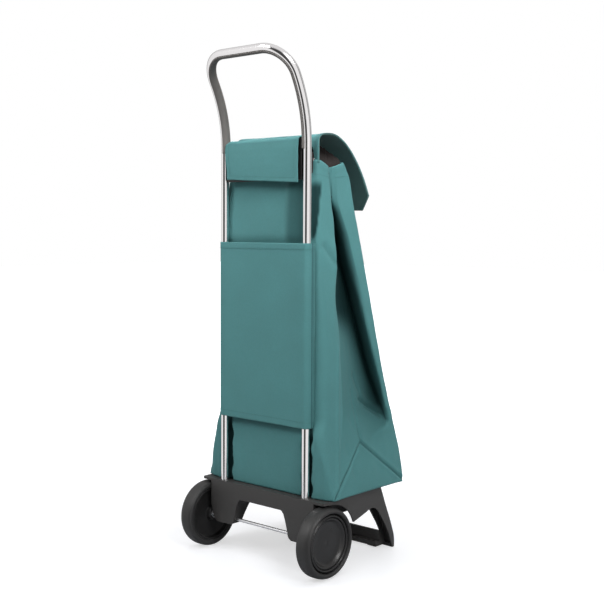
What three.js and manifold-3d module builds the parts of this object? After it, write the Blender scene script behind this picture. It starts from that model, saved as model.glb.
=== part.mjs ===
// Two-wheeled shopping trolley: bent tube handle, moulded base on two wheels, and a gusseted
// fabric bag with a lid flap. Millimetres, +Z up, +X to the right, +Y away from the user.
// Inside the trolley group the axle and the two handle tubes stand on Y = 0; the group then
// shifts along Y so that the origin is on the ground, in the middle of the footprint.

import * as THREE from 'three';
import { mergeVertices } from 'three/addons/utils/BufferGeometryUtils.js';
import Module from 'manifold-3d';

const wasm = await Module();
wasm.setup();

// Driving dimensions
const TYRE_R = 68;
const WHEEL_INNER_X = 143;
const WHEEL_WIDTH = 33;
const RIM_R = 55.6;
const AXLE_R = 3.2;
const AXLE_Z = TYRE_R;
const AXLE_HALF = 160;

const TUBE_X = 110.5;
const TUBE_R = 8;
const TUBE_WALL = 1.5;
const TUBE_FOOT_Z = 78;
const LEAN_START_Z = 821;
const LEAN_R = 266;
const HANDLE_TOP_RUN = 1012.3;
const HANDLE_CORNER_R = 59.2;
const GRIP_END_Z = 811;
const GRIP_THICKNESS = 2.8;

const PLATE_TOP = 145;
const PLATE_THICKNESS = 4.5;
const PLATE_BOTTOM = PLATE_TOP - PLATE_THICKNESS;
const WALL = 3.5;
const BASE_BACK_Y = -11;
const PLATE_FRONT_Y = 187;
const FENDER_X = 166.5;
const TAPER_START_Y = 60;
const FOOT_FRONT_Y = 249.5;
const FOOT_BACK_Y = 242;
const FOOT_X = 139;
const LEG_OUTER_X = 140;
const LEG_BOTTOM_Z = 58;
const FRONT_LEG_WIDTH = 25.5;

const CROSSPIECE_BOTTOM = 754;
const CROSSPIECE_TOP = 832;
const CROSSPIECE_HALF = 99.5;

const FABRIC = 2;
const BAG_BOTTOM_Z = 146;
const BAG_RIM_Z = 792;
const BAG_BACK_TOP_Y = 20;
const BAG_BACK_TOP_Z = 834;
const SLEEVE_BOTTOM = 280.5;
const SLEEVE_TOP = 634;
const TAIL_HALF = 95;
const TAIL_BOTTOM = 750;
const FLAP_HALF = 105.5;
const FLAP_THICKNESS = 1.6;
const FLAP_CHAMFER = 26;

const FIT_GAP = 0.3;
const ROUND_SEGMENTS = 32;
const SMALL_SEGMENTS = 16;

// Materials
const plastic = (colour, roughness) => new THREE.MeshStandardMaterial({ color: colour, roughness });
const metal = (colour, roughness) =>
  new THREE.MeshStandardMaterial({ color: colour, roughness, metalness: 1 });
const materials = {
  base: plastic(0x454545, 0.55),
  tyre: plastic(0x3a3a3a, 0.8),
  rim: plastic(0x333333, 0.5),
  grip: plastic(0x5c5a57, 0.7),
  bush: plastic(0xd8d6cf, 0.4),
  crosspiece: plastic(0x161616, 0.6),
  aluminium: metal(0xd9d9d9, 0.25),
  steel: metal(0xc4c6c8, 0.3),
  fabric: plastic(0x4f827e, 0.85),
  lining: plastic(0x1d1b1a, 0.9),
  board: plastic(0x8a8a86, 0.7),
};

// Axis bases that turn a shape drawn in its own XY plane
const X_AXIS = new THREE.Vector3(1, 0, 0);
const Y_AXIS = new THREE.Vector3(0, 1, 0);
const Z_AXIS = new THREE.Vector3(0, 0, 1);

function polygon(points) {
  return new THREE.Shape(points.map(([x, y]) => new THREE.Vector2(x, y)));
}

function mirrored(points) {
  return points.map(([x, y]) => [-x, y]).reverse();
}

function extrude(shape, depth, curveSegments = 8) {
  return new THREE.ExtrudeGeometry(shape, { depth, bevelEnabled: false, curveSegments });
}

// Shape in (X, Y), from z0 up to z1
function extrudeZ(shape, z0, z1, curveSegments) {
  return extrude(shape, z1 - z0, curveSegments).translate(0, 0, z0);
}

// Shape in (Y, Z), from x0 to x1
function extrudeX(shape, x0, x1, curveSegments) {
  const turn = new THREE.Matrix4().makeBasis(Y_AXIS, Z_AXIS, X_AXIS);
  return extrude(shape, x1 - x0, curveSegments).applyMatrix4(turn).translate(x0, 0, 0);
}

// Shape in (X, Z), from y0 to y1
function extrudeY(shape, y0, y1, curveSegments) {
  const turn = new THREE.Matrix4().makeBasis(X_AXIS, Z_AXIS, Y_AXIS.clone().negate());
  return extrude(shape, y1 - y0, curveSegments).applyMatrix4(turn).translate(0, y1, 0);
}

function box(x0, x1, y0, y1, z0, z1) {
  const geometry = new THREE.BoxGeometry(x1 - x0, y1 - y0, z1 - z0);
  return geometry.translate((x0 + x1) / 2, (y0 + y1) / 2, (z0 + z1) / 2);
}

function cylinderZ(radius, x, y, z0, z1, segments = SMALL_SEGMENTS) {
  const geometry = new THREE.CylinderGeometry(radius, radius, z1 - z0, segments);
  return geometry.rotateX(Math.PI / 2).translate(x, y, (z0 + z1) / 2);
}

function cylinderX(radius, x0, x1, y, z, segments = ROUND_SEGMENTS) {
  const geometry = new THREE.CylinderGeometry(radius, radius, x1 - x0, segments);
  return geometry.rotateZ(-Math.PI / 2).translate((x0 + x1) / 2, y, z);
}

function cylinderY(radius, x, y0, y1, z, segments = SMALL_SEGMENTS) {
  const geometry = new THREE.CylinderGeometry(radius, radius, y1 - y0, segments);
  return geometry.translate(x, (y0 + y1) / 2, z);
}

// Ring or cup turned about the X axis; the profile lists [radius, x] points, anticlockwise
function turnedX(profile, segments = ROUND_SEGMENTS) {
  const points = [...profile, profile[0]].map(([r, x]) => new THREE.Vector2(r, x));
  return new THREE.LatheGeometry(points, segments).rotateZ(-Math.PI / 2);
}

function toSolid(geometry) {
  const bare = geometry.clone();
  bare.deleteAttribute('normal');
  bare.deleteAttribute('uv');
  const merged = mergeVertices(bare, 1e-4);
  const vertProperties = new Float32Array(merged.attributes.position.array);
  const triVerts = new Uint32Array(merged.index.array);
  return new wasm.Manifold(new wasm.Mesh({ numProp: 3, vertProperties, triVerts }));
}

function toGeometry(solid) {
  const mesh = solid.getMesh();
  const geometry = new THREE.BufferGeometry();
  geometry.setAttribute('position', new THREE.BufferAttribute(mesh.vertProperties, 3));
  geometry.setIndex(new THREE.BufferAttribute(mesh.triVerts, 1));
  return geometry;
}

function join(geometries) {
  return geometries.map(toSolid).reduce((total, next) => total.add(next));
}

function cut(solid, geometries) {
  return geometries.map(toSolid).reduce((total, next) => total.subtract(next), solid);
}

const trolley = new THREE.Group();

function addPiece(name, shape, material, parent = trolley) {
  const geometry = shape.isBufferGeometry ? shape : toGeometry(shape);
  const mesh = new THREE.Mesh(geometry, material);
  mesh.name = name;
  parent.add(mesh);
  return mesh;
}

const SIDES = [
  { side: -1, label: 'left' },
  { side: 1, label: 'right' },
];

// Handle: one tube, straight up from the base, leaning back to the user above the bag

class StationCurve extends THREE.Curve {
  constructor(stations) {
    super();
    this.stations = stations;
  }

  getSpacedPoints() {
    return this.stations.map((station) => station.point);
  }

  computeFrenetFrames() {
    const tangents = this.stations.map((station) => station.tangent);
    const normals = this.stations.map((station) => station.inward);
    const binormals = this.stations.map((s) => s.tangent.clone().cross(s.inward));
    return { tangents, normals, binormals };
  }
}

const LEAN_STEPS = 4;
const CORNER_STEPS = 8;

// Point of the handle at x, after a run of tube length above the ground, heading (dx, dRun)
function handleStation(x, run, dx, dRun) {
  const angle = Math.max(0, run - LEAN_START_Z) / LEAN_R;
  const y = -LEAN_R * (1 - Math.cos(angle));
  const z = Math.min(run, LEAN_START_Z) + LEAN_R * Math.sin(angle);
  const along = new THREE.Vector3(0, -Math.sin(angle), Math.cos(angle));
  return {
    point: new THREE.Vector3(x, y, z),
    tangent: along.clone().multiplyScalar(dRun).addScaledVector(X_AXIS, dx),
    inward: along.clone().multiplyScalar(-dx).addScaledVector(X_AXIS, dRun),
  };
}

function armStations(footZ) {
  const stations = [handleStation(-TUBE_X, footZ, 0, 1)];
  const cornerRun = HANDLE_TOP_RUN - HANDLE_CORNER_R;
  for (let i = 0; i < LEAN_STEPS; i += 1) {
    const run = LEAN_START_Z + ((cornerRun - LEAN_START_Z) * i) / LEAN_STEPS;
    stations.push(handleStation(-TUBE_X, run, 0, 1));
  }
  return stations;
}

function cornerStations() {
  const stations = [];
  for (let i = 0; i <= CORNER_STEPS; i += 1) {
    const angle = ((Math.PI / 2) * i) / CORNER_STEPS;
    const x = -TUBE_X + HANDLE_CORNER_R * (1 - Math.cos(angle));
    const run = HANDLE_TOP_RUN - HANDLE_CORNER_R * (1 - Math.sin(angle));
    stations.push(handleStation(x, run, Math.sin(angle), Math.cos(angle)));
  }
  return stations;
}

function mirrorStation({ point, tangent, inward }) {
  return {
    point: new THREE.Vector3(-point.x, point.y, point.z),
    tangent: new THREE.Vector3(tangent.x, -tangent.y, -tangent.z),
    inward: new THREE.Vector3(-inward.x, inward.y, inward.z),
  };
}

function handleCurve(footZ) {
  const half = [...armStations(footZ), ...cornerStations()];
  return new StationCurve([...half, ...half.map(mirrorStation).reverse()]);
}

function sweep(shape, curve) {
  const steps = curve.stations.length - 1;
  return new THREE.ExtrudeGeometry(shape, { steps, extrudePath: curve, curveSegments: 3 });
}

function ringPoints(radius, count, from = 0, to = 2 * Math.PI) {
  const points = [];
  for (let i = 0; i < count; i += 1) {
    const angle = from + ((to - from) * i) / count;
    points.push(new THREE.Vector2(radius * Math.cos(angle), radius * Math.sin(angle)));
  }
  return points;
}

const TUBE_SEGMENTS = 14;
const CROSSPIECE_SCREW_Z = 792;
const BASE_SCREW_Z = 110;
const SCREW_R = 1.9;

function handleTube() {
  const shape = new THREE.Shape(ringPoints(TUBE_R, TUBE_SEGMENTS));
  shape.holes.push(new THREE.Path(ringPoints(TUBE_R - TUBE_WALL, TUBE_SEGMENTS).reverse()));
  const tube = toSolid(sweep(shape, handleCurve(TUBE_FOOT_Z)));
  const drills = SIDES.flatMap(({ side }) => [
    cylinderY(SCREW_R + FIT_GAP, side * TUBE_X, 1, 12, CROSSPIECE_SCREW_Z, 8),
    cylinderY(SCREW_R + FIT_GAP, side * TUBE_X, 1, 12, BASE_SCREW_Z, 8),
  ]);
  return cut(tube, drills);
}

// Soft strip that hugs the inner half of the tube
function handleGrip() {
  const inner = TUBE_R + FIT_GAP;
  const outer = inner + GRIP_THICKNESS;
  const reach = THREE.MathUtils.degToRad(78);
  const count = 8;
  const outerArc = ringPoints(outer, count, -reach, reach);
  outerArc.push(new THREE.Vector2(outer * Math.cos(reach), outer * Math.sin(reach)));
  const innerArc = ringPoints(inner, count, reach, -reach);
  innerArc.push(new THREE.Vector2(inner * Math.cos(reach), -inner * Math.sin(reach)));
  return sweep(new THREE.Shape([...outerArc, ...innerArc]), handleCurve(GRIP_END_Z));
}

// Push-in plug that closes the foot of each tube
function tubePlug(side) {
  const x = side * TUBE_X;
  const bore = TUBE_R - TUBE_WALL;
  return join([
    cylinderZ(bore - FIT_GAP, x, 0, TUBE_FOOT_Z - 1, TUBE_FOOT_Z + 14, TUBE_SEGMENTS),
    cylinderZ(TUBE_R - FIT_GAP, x, 0, TUBE_FOOT_Z - 2.2, TUBE_FOOT_Z - FIT_GAP, TUBE_SEGMENTS),
  ]);
}

// Self-tapping screw along Y, head at headY, tip towards -Y
function screwY(x, headY, tipY, z) {
  return join([
    cylinderY(3.6, x, headY, headY + 2, z, 12),
    cylinderY(SCREW_R, x, tipY, headY + 1, z, 8),
  ]);
}

// Base moulding: top plate with wheel arches, back wall, rear legs on the axle, front legs

function plateOutline(inset) {
  const edge = FENDER_X - inset;
  const front = taperX(PLATE_FRONT_Y) - inset;
  const back = BASE_BACK_Y + inset;
  const corner = 8;
  const shape = new THREE.Shape();
  shape.moveTo(-edge + corner, back);
  shape.lineTo(edge - corner, back);
  shape.quadraticCurveTo(edge, back, edge, back + corner);
  shape.lineTo(edge, TAPER_START_Y);
  shape.lineTo(front, PLATE_FRONT_Y - inset);
  shape.lineTo(-front, PLATE_FRONT_Y - inset);
  shape.lineTo(-edge, TAPER_START_Y);
  shape.lineTo(-edge, back + corner);
  shape.quadraticCurveTo(-edge, back, -edge + corner, back);
  return shape;
}

// Outer X of the side wall, which draws in towards the front feet
function taperX(y) {
  const share = Math.max(0, y - TAPER_START_Y) / (FOOT_FRONT_Y - TAPER_START_Y);
  return FENDER_X - (FENDER_X - FOOT_X) * share;
}

// Plan view of a wall band that follows the side edge, thickness inwards
function sideBand(side, thickness, y0) {
  const end = FOOT_FRONT_Y + 10;
  const outer = [
    [side * taperX(y0), y0],
    [side * FENDER_X, TAPER_START_Y],
    [side * taperX(end), end],
  ];
  const inner = outer.map(([x, y]) => [x - side * thickness, y]).reverse();
  const start = y0 < TAPER_START_Y ? 0 : 1;
  const loop = [...outer.slice(start), ...inner.slice(0, inner.length - start)];
  if (start) {
    loop[0] = [side * taperX(y0), y0];
    loop[loop.length - 1] = [side * (taperX(y0) - thickness), y0];
  }
  return extrudeZ(polygon(loop), 0, PLATE_TOP);
}

const ARCH = { y: 8, z: 56, r: 83, from: 1.62, to: 0.435 };

// Side view of the skirt: wheel arch, pointed tip, then the arch behind the front leg
function skirtOutline() {
  const shape = new THREE.Shape();
  shape.absarc(ARCH.y, ARCH.z, ARCH.r, ARCH.from, ARCH.to, true);
  shape.lineTo(135, 100);
  shape.quadraticCurveTo(155, 106, 170, 98);
  shape.lineTo(PLATE_FRONT_Y - 2, 90);
  shape.lineTo(PLATE_FRONT_Y - 2, PLATE_BOTTOM + 1);
  shape.lineTo(2, PLATE_BOTTOM + 1);
  return shape;
}

function frontLegOutline() {
  const shape = new THREE.Shape();
  shape.moveTo(150, PLATE_BOTTOM + 1);
  shape.lineTo(150, 103);
  shape.quadraticCurveTo(172, 103.5, 188.5, 82.3);
  shape.lineTo(210, 56.5);
  shape.lineTo(225, 35);
  shape.lineTo(236, 14);
  shape.lineTo(FOOT_BACK_Y, 0);
  shape.lineTo(FOOT_FRONT_Y, 0);
  shape.quadraticCurveTo(FOOT_FRONT_Y + 1.5, 18, 245.4, 31);
  shape.lineTo(231.7, 59.6);
  shape.lineTo(209.3, 100.5);
  shape.lineTo(PLATE_FRONT_Y + 1.5, PLATE_BOTTOM + 1);
  return shape;
}

function clampFront(solid) {
  return cut(solid, [box(-200, 200, FOOT_FRONT_Y, FOOT_FRONT_Y + 20, -5, 200)]);
}

function frontLeg(side) {
  const outline = toSolid(extrudeX(frontLegOutline(), -200, 200, 5));
  const leg = outline.intersect(toSolid(sideBand(side, FRONT_LEG_WIDTH, TAPER_START_Y)));
  const pocketProfile = polygon([
    [140, 135],
    [140, 8],
    [244.5, 8],
    [240, 30],
    [227, 59],
    [205, 98],
    [185, 135],
  ]);
  const pocket = toSolid(extrudeX(pocketProfile, -200, 200));
  const band = toSolid(sideBand(side, FRONT_LEG_WIDTH - WALL, TAPER_START_Y)).subtract(
    toSolid(sideBand(side, WALL, TAPER_START_Y)),
  );
  return clampFront(leg.subtract(pocket.intersect(band)));
}

const REAR_CUT_TOP = 113.5;
const rearLegPoints = [
  [56.5, PLATE_BOTTOM + 1],
  [56.5, REAR_CUT_TOP],
  [62.5, 107.5],
  [67, 96],
  [72.5, 77],
  [75, 65],
  [78, 61],
  [83, LEG_BOTTOM_Z],
  [125, LEG_BOTTOM_Z],
  [134, 70],
  [LEG_OUTER_X, 92],
  [LEG_OUTER_X, PLATE_BOTTOM + 1],
];
const rearLegInside = [
  [56.5 + WALL, PLATE_BOTTOM - 2],
  [56.5 + WALL, REAR_CUT_TOP + 1.5],
  [65.5, 110],
  [70.5, 97],
  [76, 78],
  [78.8, 66],
  [83, LEG_BOTTOM_Z + WALL],
  [123, LEG_BOTTOM_Z + WALL],
  [131, 72],
  [LEG_OUTER_X - WALL, 93],
  [LEG_OUTER_X - WALL, PLATE_BOTTOM - 2],
];

function sidePoints(points, side) {
  return side > 0 ? points : mirrored(points);
}

// Channel-shaped rear leg, open to the front, with the blind socket for the tube
function rearLeg(side) {
  const front = toSolid(extrudeY(polygon(sidePoints(rearLegPoints, side)), BASE_BACK_Y, 32));
  const depth = polygon([
    [BASE_BACK_Y, LEG_BOTTOM_Z],
    [12, LEG_BOTTOM_Z],
    [32, REAR_CUT_TOP],
    [32, PLATE_BOTTOM + 1],
    [BASE_BACK_Y, PLATE_BOTTOM + 1],
  ]);
  const block = front.intersect(toSolid(extrudeX(depth, -200, 200)));
  const inside = extrudeY(polygon(sidePoints(rearLegInside, side)), BASE_BACK_Y + WALL, 60);
  const socket = cylinderZ(TUBE_R + 3, side * TUBE_X, 0, 72, PLATE_BOTTOM + 1, 20);
  const facet = new THREE.ConeGeometry(10, 44, 4).scale(1, 1, 0.28);
  facet.rotateX(Math.PI / 2).translate(side * TUBE_X, BASE_BACK_Y + 0.4, LEG_BOTTOM_Z + 22);
  const wellSide = polygon([
    [BASE_BACK_Y + 1, PLATE_BOTTOM + 1],
    [20, 99],
    [32, 107],
    [99, 107],
    [105, PLATE_BOTTOM + 1],
  ]);
  const wellX = side > 0 ? LEG_OUTER_X - WALL : -LEG_OUTER_X;
  const wellWall = extrudeX(wellSide, wellX, wellX + WALL);
  return cut(block, [inside]).add(join([socket, facet, wellWall]));
}

function backWall() {
  const points = [
    [-LEG_OUTER_X, PLATE_BOTTOM + 1],
    [-LEG_OUTER_X, 118],
    [-58, REAR_CUT_TOP],
    [58, REAR_CUT_TOP],
    [LEG_OUTER_X, 118],
    [LEG_OUTER_X, PLATE_BOTTOM + 1],
  ];
  return extrudeY(polygon(points), BASE_BACK_Y, BASE_BACK_Y + WALL);
}

function frontApron() {
  const half = taperX(PLATE_FRONT_Y) - WALL;
  const points = [
    [-half, PLATE_BOTTOM + 1],
    [-half, 104],
    [-96, 118],
    [96, 118],
    [half, 104],
    [half, PLATE_BOTTOM + 1],
  ];
  return extrudeY(polygon(points), PLATE_FRONT_Y - WALL, PLATE_FRONT_Y);
}

const BAG_SCREWS = [
  { label: 'rear_left', x: -45, y: 62 },
  { label: 'rear_right', x: 45, y: 62 },
  { label: 'front_left', x: -45, y: 150 },
  { label: 'front_right', x: 45, y: 150 },
];

function baseMoulding() {
  const barHalf = 119.5;
  const ribTop = PLATE_BOTTOM + 1;
  let body = join([
    extrudeZ(plateOutline(0), PLATE_BOTTOM, PLATE_TOP),
    backWall(),
    frontApron(),
    box(-barHalf, barHalf, 222, 226, 10, 35.3),
    box(-barHalf, barHalf, 211, 226, 10, 13.5),
    box(-barHalf, barHalf, 211, 214, 4, 13.5),
    box(-62, -59, BASE_BACK_Y + 1, PLATE_FRONT_Y - 1, 128, ribTop),
    box(59, 62, BASE_BACK_Y + 1, PLATE_FRONT_Y - 1, 128, ribTop),
    box(-140, 140, 104, 107, 128, ribTop),
  ]);
  for (const { side } of SIDES) {
    const footBox = box(-10.5, 10.5, 211, FOOT_BACK_Y, 3, 13.5).translate(side * 109, 0, 0);
    const skirt = toSolid(extrudeX(skirtOutline(), -200, 200, 9));
    body = body.add(toSolid(footBox));
    body = body.add(skirt.intersect(toSolid(sideBand(side, WALL, 2))));
    body = body.add(rearLeg(side)).add(frontLeg(side));
    body = body.add(toSolid(box(-1.75, 1.75, 222, 240, 10, 33).translate(side * 117.5, 0, 0)));
  }
  const drills = SIDES.flatMap(({ side }) => [
    cylinderZ(TUBE_R + FIT_GAP, side * TUBE_X, 0, 75, PLATE_TOP + 1, TUBE_SEGMENTS),
    cylinderY(SCREW_R + FIT_GAP, side * TUBE_X, 2, 14, BASE_SCREW_Z, 8),
  ]);
  const screwHoles = BAG_SCREWS.map(({ x, y }) =>
    cylinderZ(SCREW_R + FIT_GAP, x, y, PLATE_BOTTOM - 1, PLATE_TOP + 1, 8),
  );
  return cut(body, [
    ...drills,
    ...screwHoles,
    cylinderX(AXLE_R + FIT_GAP, -150, 150, 0, AXLE_Z, SMALL_SEGMENTS),
  ]);
}

// Upper crosspiece between the tubes, which carries the bag

const HANGER_SCREWS = [
  { label: 'left', x: -70 },
  { label: 'middle', x: 0 },
  { label: 'right', x: 70 },
];
const HANGER_SCREW_Z = 788;
const LUG_BOTTOM = 766;
const LUG_TOP = 806;

function hangerHoles(y0, y1) {
  return HANGER_SCREWS.map(({ x }) => cylinderY(SCREW_R + FIT_GAP, x, y0, y1, HANGER_SCREW_Z, 8));
}

function crosspiece() {
  const radius = 4;
  const profile = new THREE.Shape();
  profile.moveTo(-radius, CROSSPIECE_BOTTOM);
  profile.lineTo(radius, CROSSPIECE_BOTTOM);
  profile.absarc(0, CROSSPIECE_TOP - radius, radius, 0, Math.PI, false);
  const bar = toSolid(extrudeX(profile, -CROSSPIECE_HALF, CROSSPIECE_HALF, 6));
  const lugs = SIDES.map(({ side }) => {
    const ring = toSolid(cylinderZ(TUBE_R + 4.4, side * TUBE_X, 0, LUG_BOTTOM, LUG_TOP, 20));
    const keep = box(-11.5, 11.5, 0, 20, LUG_BOTTOM, LUG_TOP);
    keep.translate(side * (TUBE_X - 8), 0, 0);
    return ring.intersect(toSolid(keep));
  });
  const solid = lugs.reduce((total, lug) => total.add(lug), bar);
  const drills = SIDES.flatMap(({ side }) => [
    cylinderZ(TUBE_R + FIT_GAP, side * TUBE_X, 0, 740, 850, 20),
    cylinderY(SCREW_R + FIT_GAP, side * TUBE_X, 2, 20, CROSSPIECE_SCREW_Z, 8),
  ]);
  const gripRoom = SIDES.map(({ side }) => {
    const x = side * (CROSSPIECE_HALF + 1);
    return box(x - 2, x + 2, -20, 20, GRIP_END_Z - 2, CROSSPIECE_TOP + 5);
  });
  return cut(solid, [...drills, ...gripRoom, ...hangerHoles(-2, 10)]);
}

// Wheels, drawn for the right side with x measured from the wheel's inner face

const tyreProfile = [
  [RIM_R + FIT_GAP, 1.5],
  [60, 0],
  [TYRE_R - 2, 1.8],
  [TYRE_R - 0.4, 6],
  [TYRE_R, 12],
  [TYRE_R, 21],
  [TYRE_R - 1.2, 26.5],
  [TYRE_R - 3.6, 31],
  [TYRE_R - 7.5, WHEEL_WIDTH],
  [57.8, 31],
  [RIM_R + FIT_GAP, 23],
];
const BUSH_OUTER_R = 5.6;
const rimProfile = [
  [BUSH_OUTER_R + FIT_GAP, 0],
  [13, 0],
  [15, 9],
  [49, 9],
  [51.5, 1.8],
  [RIM_R, 1.8],
  [RIM_R, 22.5],
  [53.5, 27.5],
  [49.3, 27.5],
  [49.3, 19],
  [46, 17.5],
  [46, 13],
  [14, 13],
  [13, 14.5],
  [BUSH_OUTER_R + FIT_GAP, 14.5],
];
const capProfile = [
  [0, 19.4],
  [30, 19.9],
  [42, 20.6],
  [45.5, 19.4],
  [49, 19.4],
  [49, 27.6],
  [46.5, 27.2],
  [42, 24.8],
  [30, 22.6],
  [0, 21.6],
];
const BUSH_BORE_R = AXLE_R + 0.09;
const bushProfile = [
  [BUSH_BORE_R, -0.2],
  [BUSH_OUTER_R, -0.2],
  [BUSH_OUTER_R, 14.2],
  [BUSH_BORE_R, 14.2],
];

function hubCap() {
  const points = capProfile.map(([r, x]) => new THREE.Vector2(r, x));
  return new THREE.LatheGeometry(points, ROUND_SEGMENTS).rotateZ(-Math.PI / 2);
}

function addWheel(side, label) {
  const wheel = new THREE.Group();
  wheel.position.set(side * WHEEL_INNER_X, 0, AXLE_Z);
  wheel.rotation.z = side > 0 ? 0 : Math.PI;
  addPiece(`${label}_tyre`, turnedX(tyreProfile, 40), materials.tyre, wheel);
  addPiece(`${label}_rim`, turnedX(rimProfile), materials.rim, wheel);
  addPiece(`${label}_hub_cap`, hubCap(), materials.rim, wheel);
  addPiece(`${label}_bush`, turnedX(bushProfile), materials.bush, wheel);
  trolley.add(wheel);
}

// Ring on the axle, between x0 and x1 on one side
function axleRing(side, outerR, x0, x1) {
  const boreR = AXLE_R + 0.1;
  const ends = side > 0 ? [x0, x1] : [-x1, -x0];
  const ring = turnedX([
    [boreR, ends[0]],
    [outerR, ends[0]],
    [outerR, ends[1]],
    [boreR, ends[1]],
  ], 24);
  return ring.translate(0, 0, AXLE_Z);
}

// Bag: one lofted shell with folded side gussets, open at the top

// Half outline of the bag at one height: back corner, rear fold, gusset valley, front fold, front corner
const BAG_LEVELS = [
  { z: 146, half: 171.5, back: 12.3, rear: 50, valley: 120, strip: 195, front: 235.5, fold: 0 },
  { z: 207, half: 157, back: 12.3, rear: 48, valley: 120, strip: 206, front: 242, fold: 10 },
  { z: 250, half: 149.5, back: 12.3, rear: 44, valley: 120, strip: 221, front: 237, fold: 22 },
  { z: 304, half: 144.5, back: 12.5, rear: 60, valley: 130, strip: 208, front: 224.5, fold: 27 },
  { z: 440, half: 137, back: 13, rear: 61, valley: 118, strip: 163, front: 189.5, fold: 28 },
  { z: 590, half: 128, back: 15, rear: 64, valley: 90, strip: 115, front: 157, fold: 24 },
  { z: 707, half: 121, back: 18, rear: 56, valley: 64, strip: 74, front: 131, fold: 10 },
  { z: 760, half: 118.5, back: 19, rear: 52, valley: 60, strip: 72, front: 121, fold: 6 },
  { z: BAG_RIM_Z, half: 117.5, back: BAG_BACK_TOP_Y, rear: 48, valley: 58, strip: 70, front: 100.5, fold: 4 },
];

function bagHalfLoop({ half, back, rear, valley, strip, front, fold }) {
  return [
    [half, back],
    [half, back + 6],
    [half, rear],
    [half - fold, valley],
    [half, strip],
    [half, front],
  ];
}

function bagLoop(level) {
  const right = bagHalfLoop(level);
  const left = mirrored(right);
  return [...right, ...left];
}

// Moves a closed loop inwards by a distance, corner by corner
function insetLoop(loop, distance) {
  return loop.map(([x, y], i) => {
    const before = loop[(i + loop.length - 1) % loop.length];
    const after = loop[(i + 1) % loop.length];
    const a = new THREE.Vector2(x - before[0], y - before[1]).normalize();
    const b = new THREE.Vector2(after[0] - x, after[1] - y).normalize();
    const normal = new THREE.Vector2(-a.y - b.y, a.x + b.x);
    const scale = distance / (1 + a.dot(b));
    return [x + normal.x * scale, y + normal.y * scale];
  });
}

// Closed surface through equal-length rings of points, capped at the first and last ring
function loft(rings) {
  const count = rings[0].length;
  const positions = rings.flat().flat();
  const index = [];
  for (let r = 0; r + 1 < rings.length; r += 1) {
    for (let i = 0; i < count; i += 1) {
      const j = (i + 1) % count;
      const a = r * count + i;
      const b = r * count + j;
      index.push(a, b, b + count, a, b + count, a + count);
    }
  }
  const flat = rings[0].map(([x, y]) => new THREE.Vector2(x, y));
  const last = (rings.length - 1) * count;
  for (const [a, b, c] of THREE.ShapeUtils.triangulateShape(flat, [])) {
    index.push(a, c, b);
    index.push(last + a, last + b, last + c);
  }
  const geometry = new THREE.BufferGeometry();
  geometry.setAttribute('position', new THREE.Float32BufferAttribute(positions, 3));
  geometry.setIndex(index);
  return geometry;
}

function bagBody() {
  const outer = BAG_LEVELS.map((level) => bagLoop(level).map(([x, y]) => [x, y, level.z]));
  const inner = BAG_LEVELS.map((level, i) => {
    const z = i === 0 ? BAG_BOTTOM_Z + FABRIC : level.z;
    return insetLoop(bagLoop(level), FABRIC).map(([x, y]) => [x, y, z]);
  });
  const top = inner[inner.length - 1].map(([x, y]) => [x, y, BAG_RIM_Z + 5]);
  const shell = toSolid(loft(outer)).subtract(toSolid(loft([...inner, top])));
  const { half, back } = BAG_LEVELS[BAG_LEVELS.length - 1];
  const lift = toSolid(box(-half, half, back, back + FABRIC, BAG_RIM_Z - 20, BAG_BACK_TOP_Z));
  const drills = BAG_SCREWS.map(({ x, y }) =>
    cylinderZ(SCREW_R + FIT_GAP, x, y, BAG_BOTTOM_Z - 1, BAG_BOTTOM_Z + 5, 8),
  );
  return cut(shell.add(lift), [...drills, ...hangerHoles(back - 4, back + 6)]);
}

// Stiff board on the bag's floor, with blind holes for the screws that come up from below
const BOARD_BOTTOM = BAG_BOTTOM_Z + FABRIC + FIT_GAP;
const BOARD_THICKNESS = 4.5;

function bagBoard() {
  const half = 160;
  const board = box(-half, half, 22, 225, BOARD_BOTTOM, BOARD_BOTTOM + BOARD_THICKNESS);
  const pilots = BAG_SCREWS.map(({ x, y }) =>
    cylinderZ(SCREW_R + FIT_GAP, x, y, BOARD_BOTTOM - 1, BOARD_BOTTOM + 3, 8),
  );
  return cut(toSolid(board), pilots);
}

function bagScrew(x, y) {
  const headZ = PLATE_BOTTOM - FIT_GAP;
  return join([
    cylinderZ(4.5, x, y, headZ - 1.8, headZ, 12),
    cylinderZ(SCREW_R, x, y, headZ - 1, BOARD_BOTTOM + 2.7, 8),
  ]);
}

// Panel sewn to the bag's back that wraps round both tubes
function bagSleeve() {
  const inner = TUBE_R + 0.8;
  const outer = inner + 1.6;
  const endY = 12;
  const shape = new THREE.Shape();
  shape.moveTo(-TUBE_X, -outer);
  shape.lineTo(TUBE_X, -outer);
  shape.absarc(TUBE_X, 0, outer, -Math.PI / 2, 0, false);
  shape.lineTo(TUBE_X + outer, endY);
  shape.lineTo(TUBE_X + inner, endY);
  shape.absarc(TUBE_X, 0, inner, 0, -Math.PI / 2, true);
  shape.lineTo(-TUBE_X, -inner);
  shape.absarc(-TUBE_X, 0, inner, -Math.PI / 2, -Math.PI, true);
  shape.lineTo(-TUBE_X - inner, endY);
  shape.lineTo(-TUBE_X - outer, endY);
  shape.absarc(-TUBE_X, 0, outer, Math.PI, Math.PI * 1.5, false);
  return extrudeZ(shape, SLEEVE_BOTTOM, SLEEVE_TOP, 4);
}

// Polyline in (Y, Z) moved sideways, to its left when positive
function offsetLine(line, distance) {
  return line.map(([y, z], i) => {
    const before = line[Math.max(0, i - 1)];
    const after = line[Math.min(line.length - 1, i + 1)];
    const along = new THREE.Vector2(after[0] - before[0], after[1] - before[1]).normalize();
    return [y - along.y * distance, z + along.x * distance];
  });
}

// Thin band between two offsets of a polyline
function bandShape(line, from, to) {
  return polygon([...offsetLine(line, from), ...offsetLine(line, to).reverse()]);
}

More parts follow.
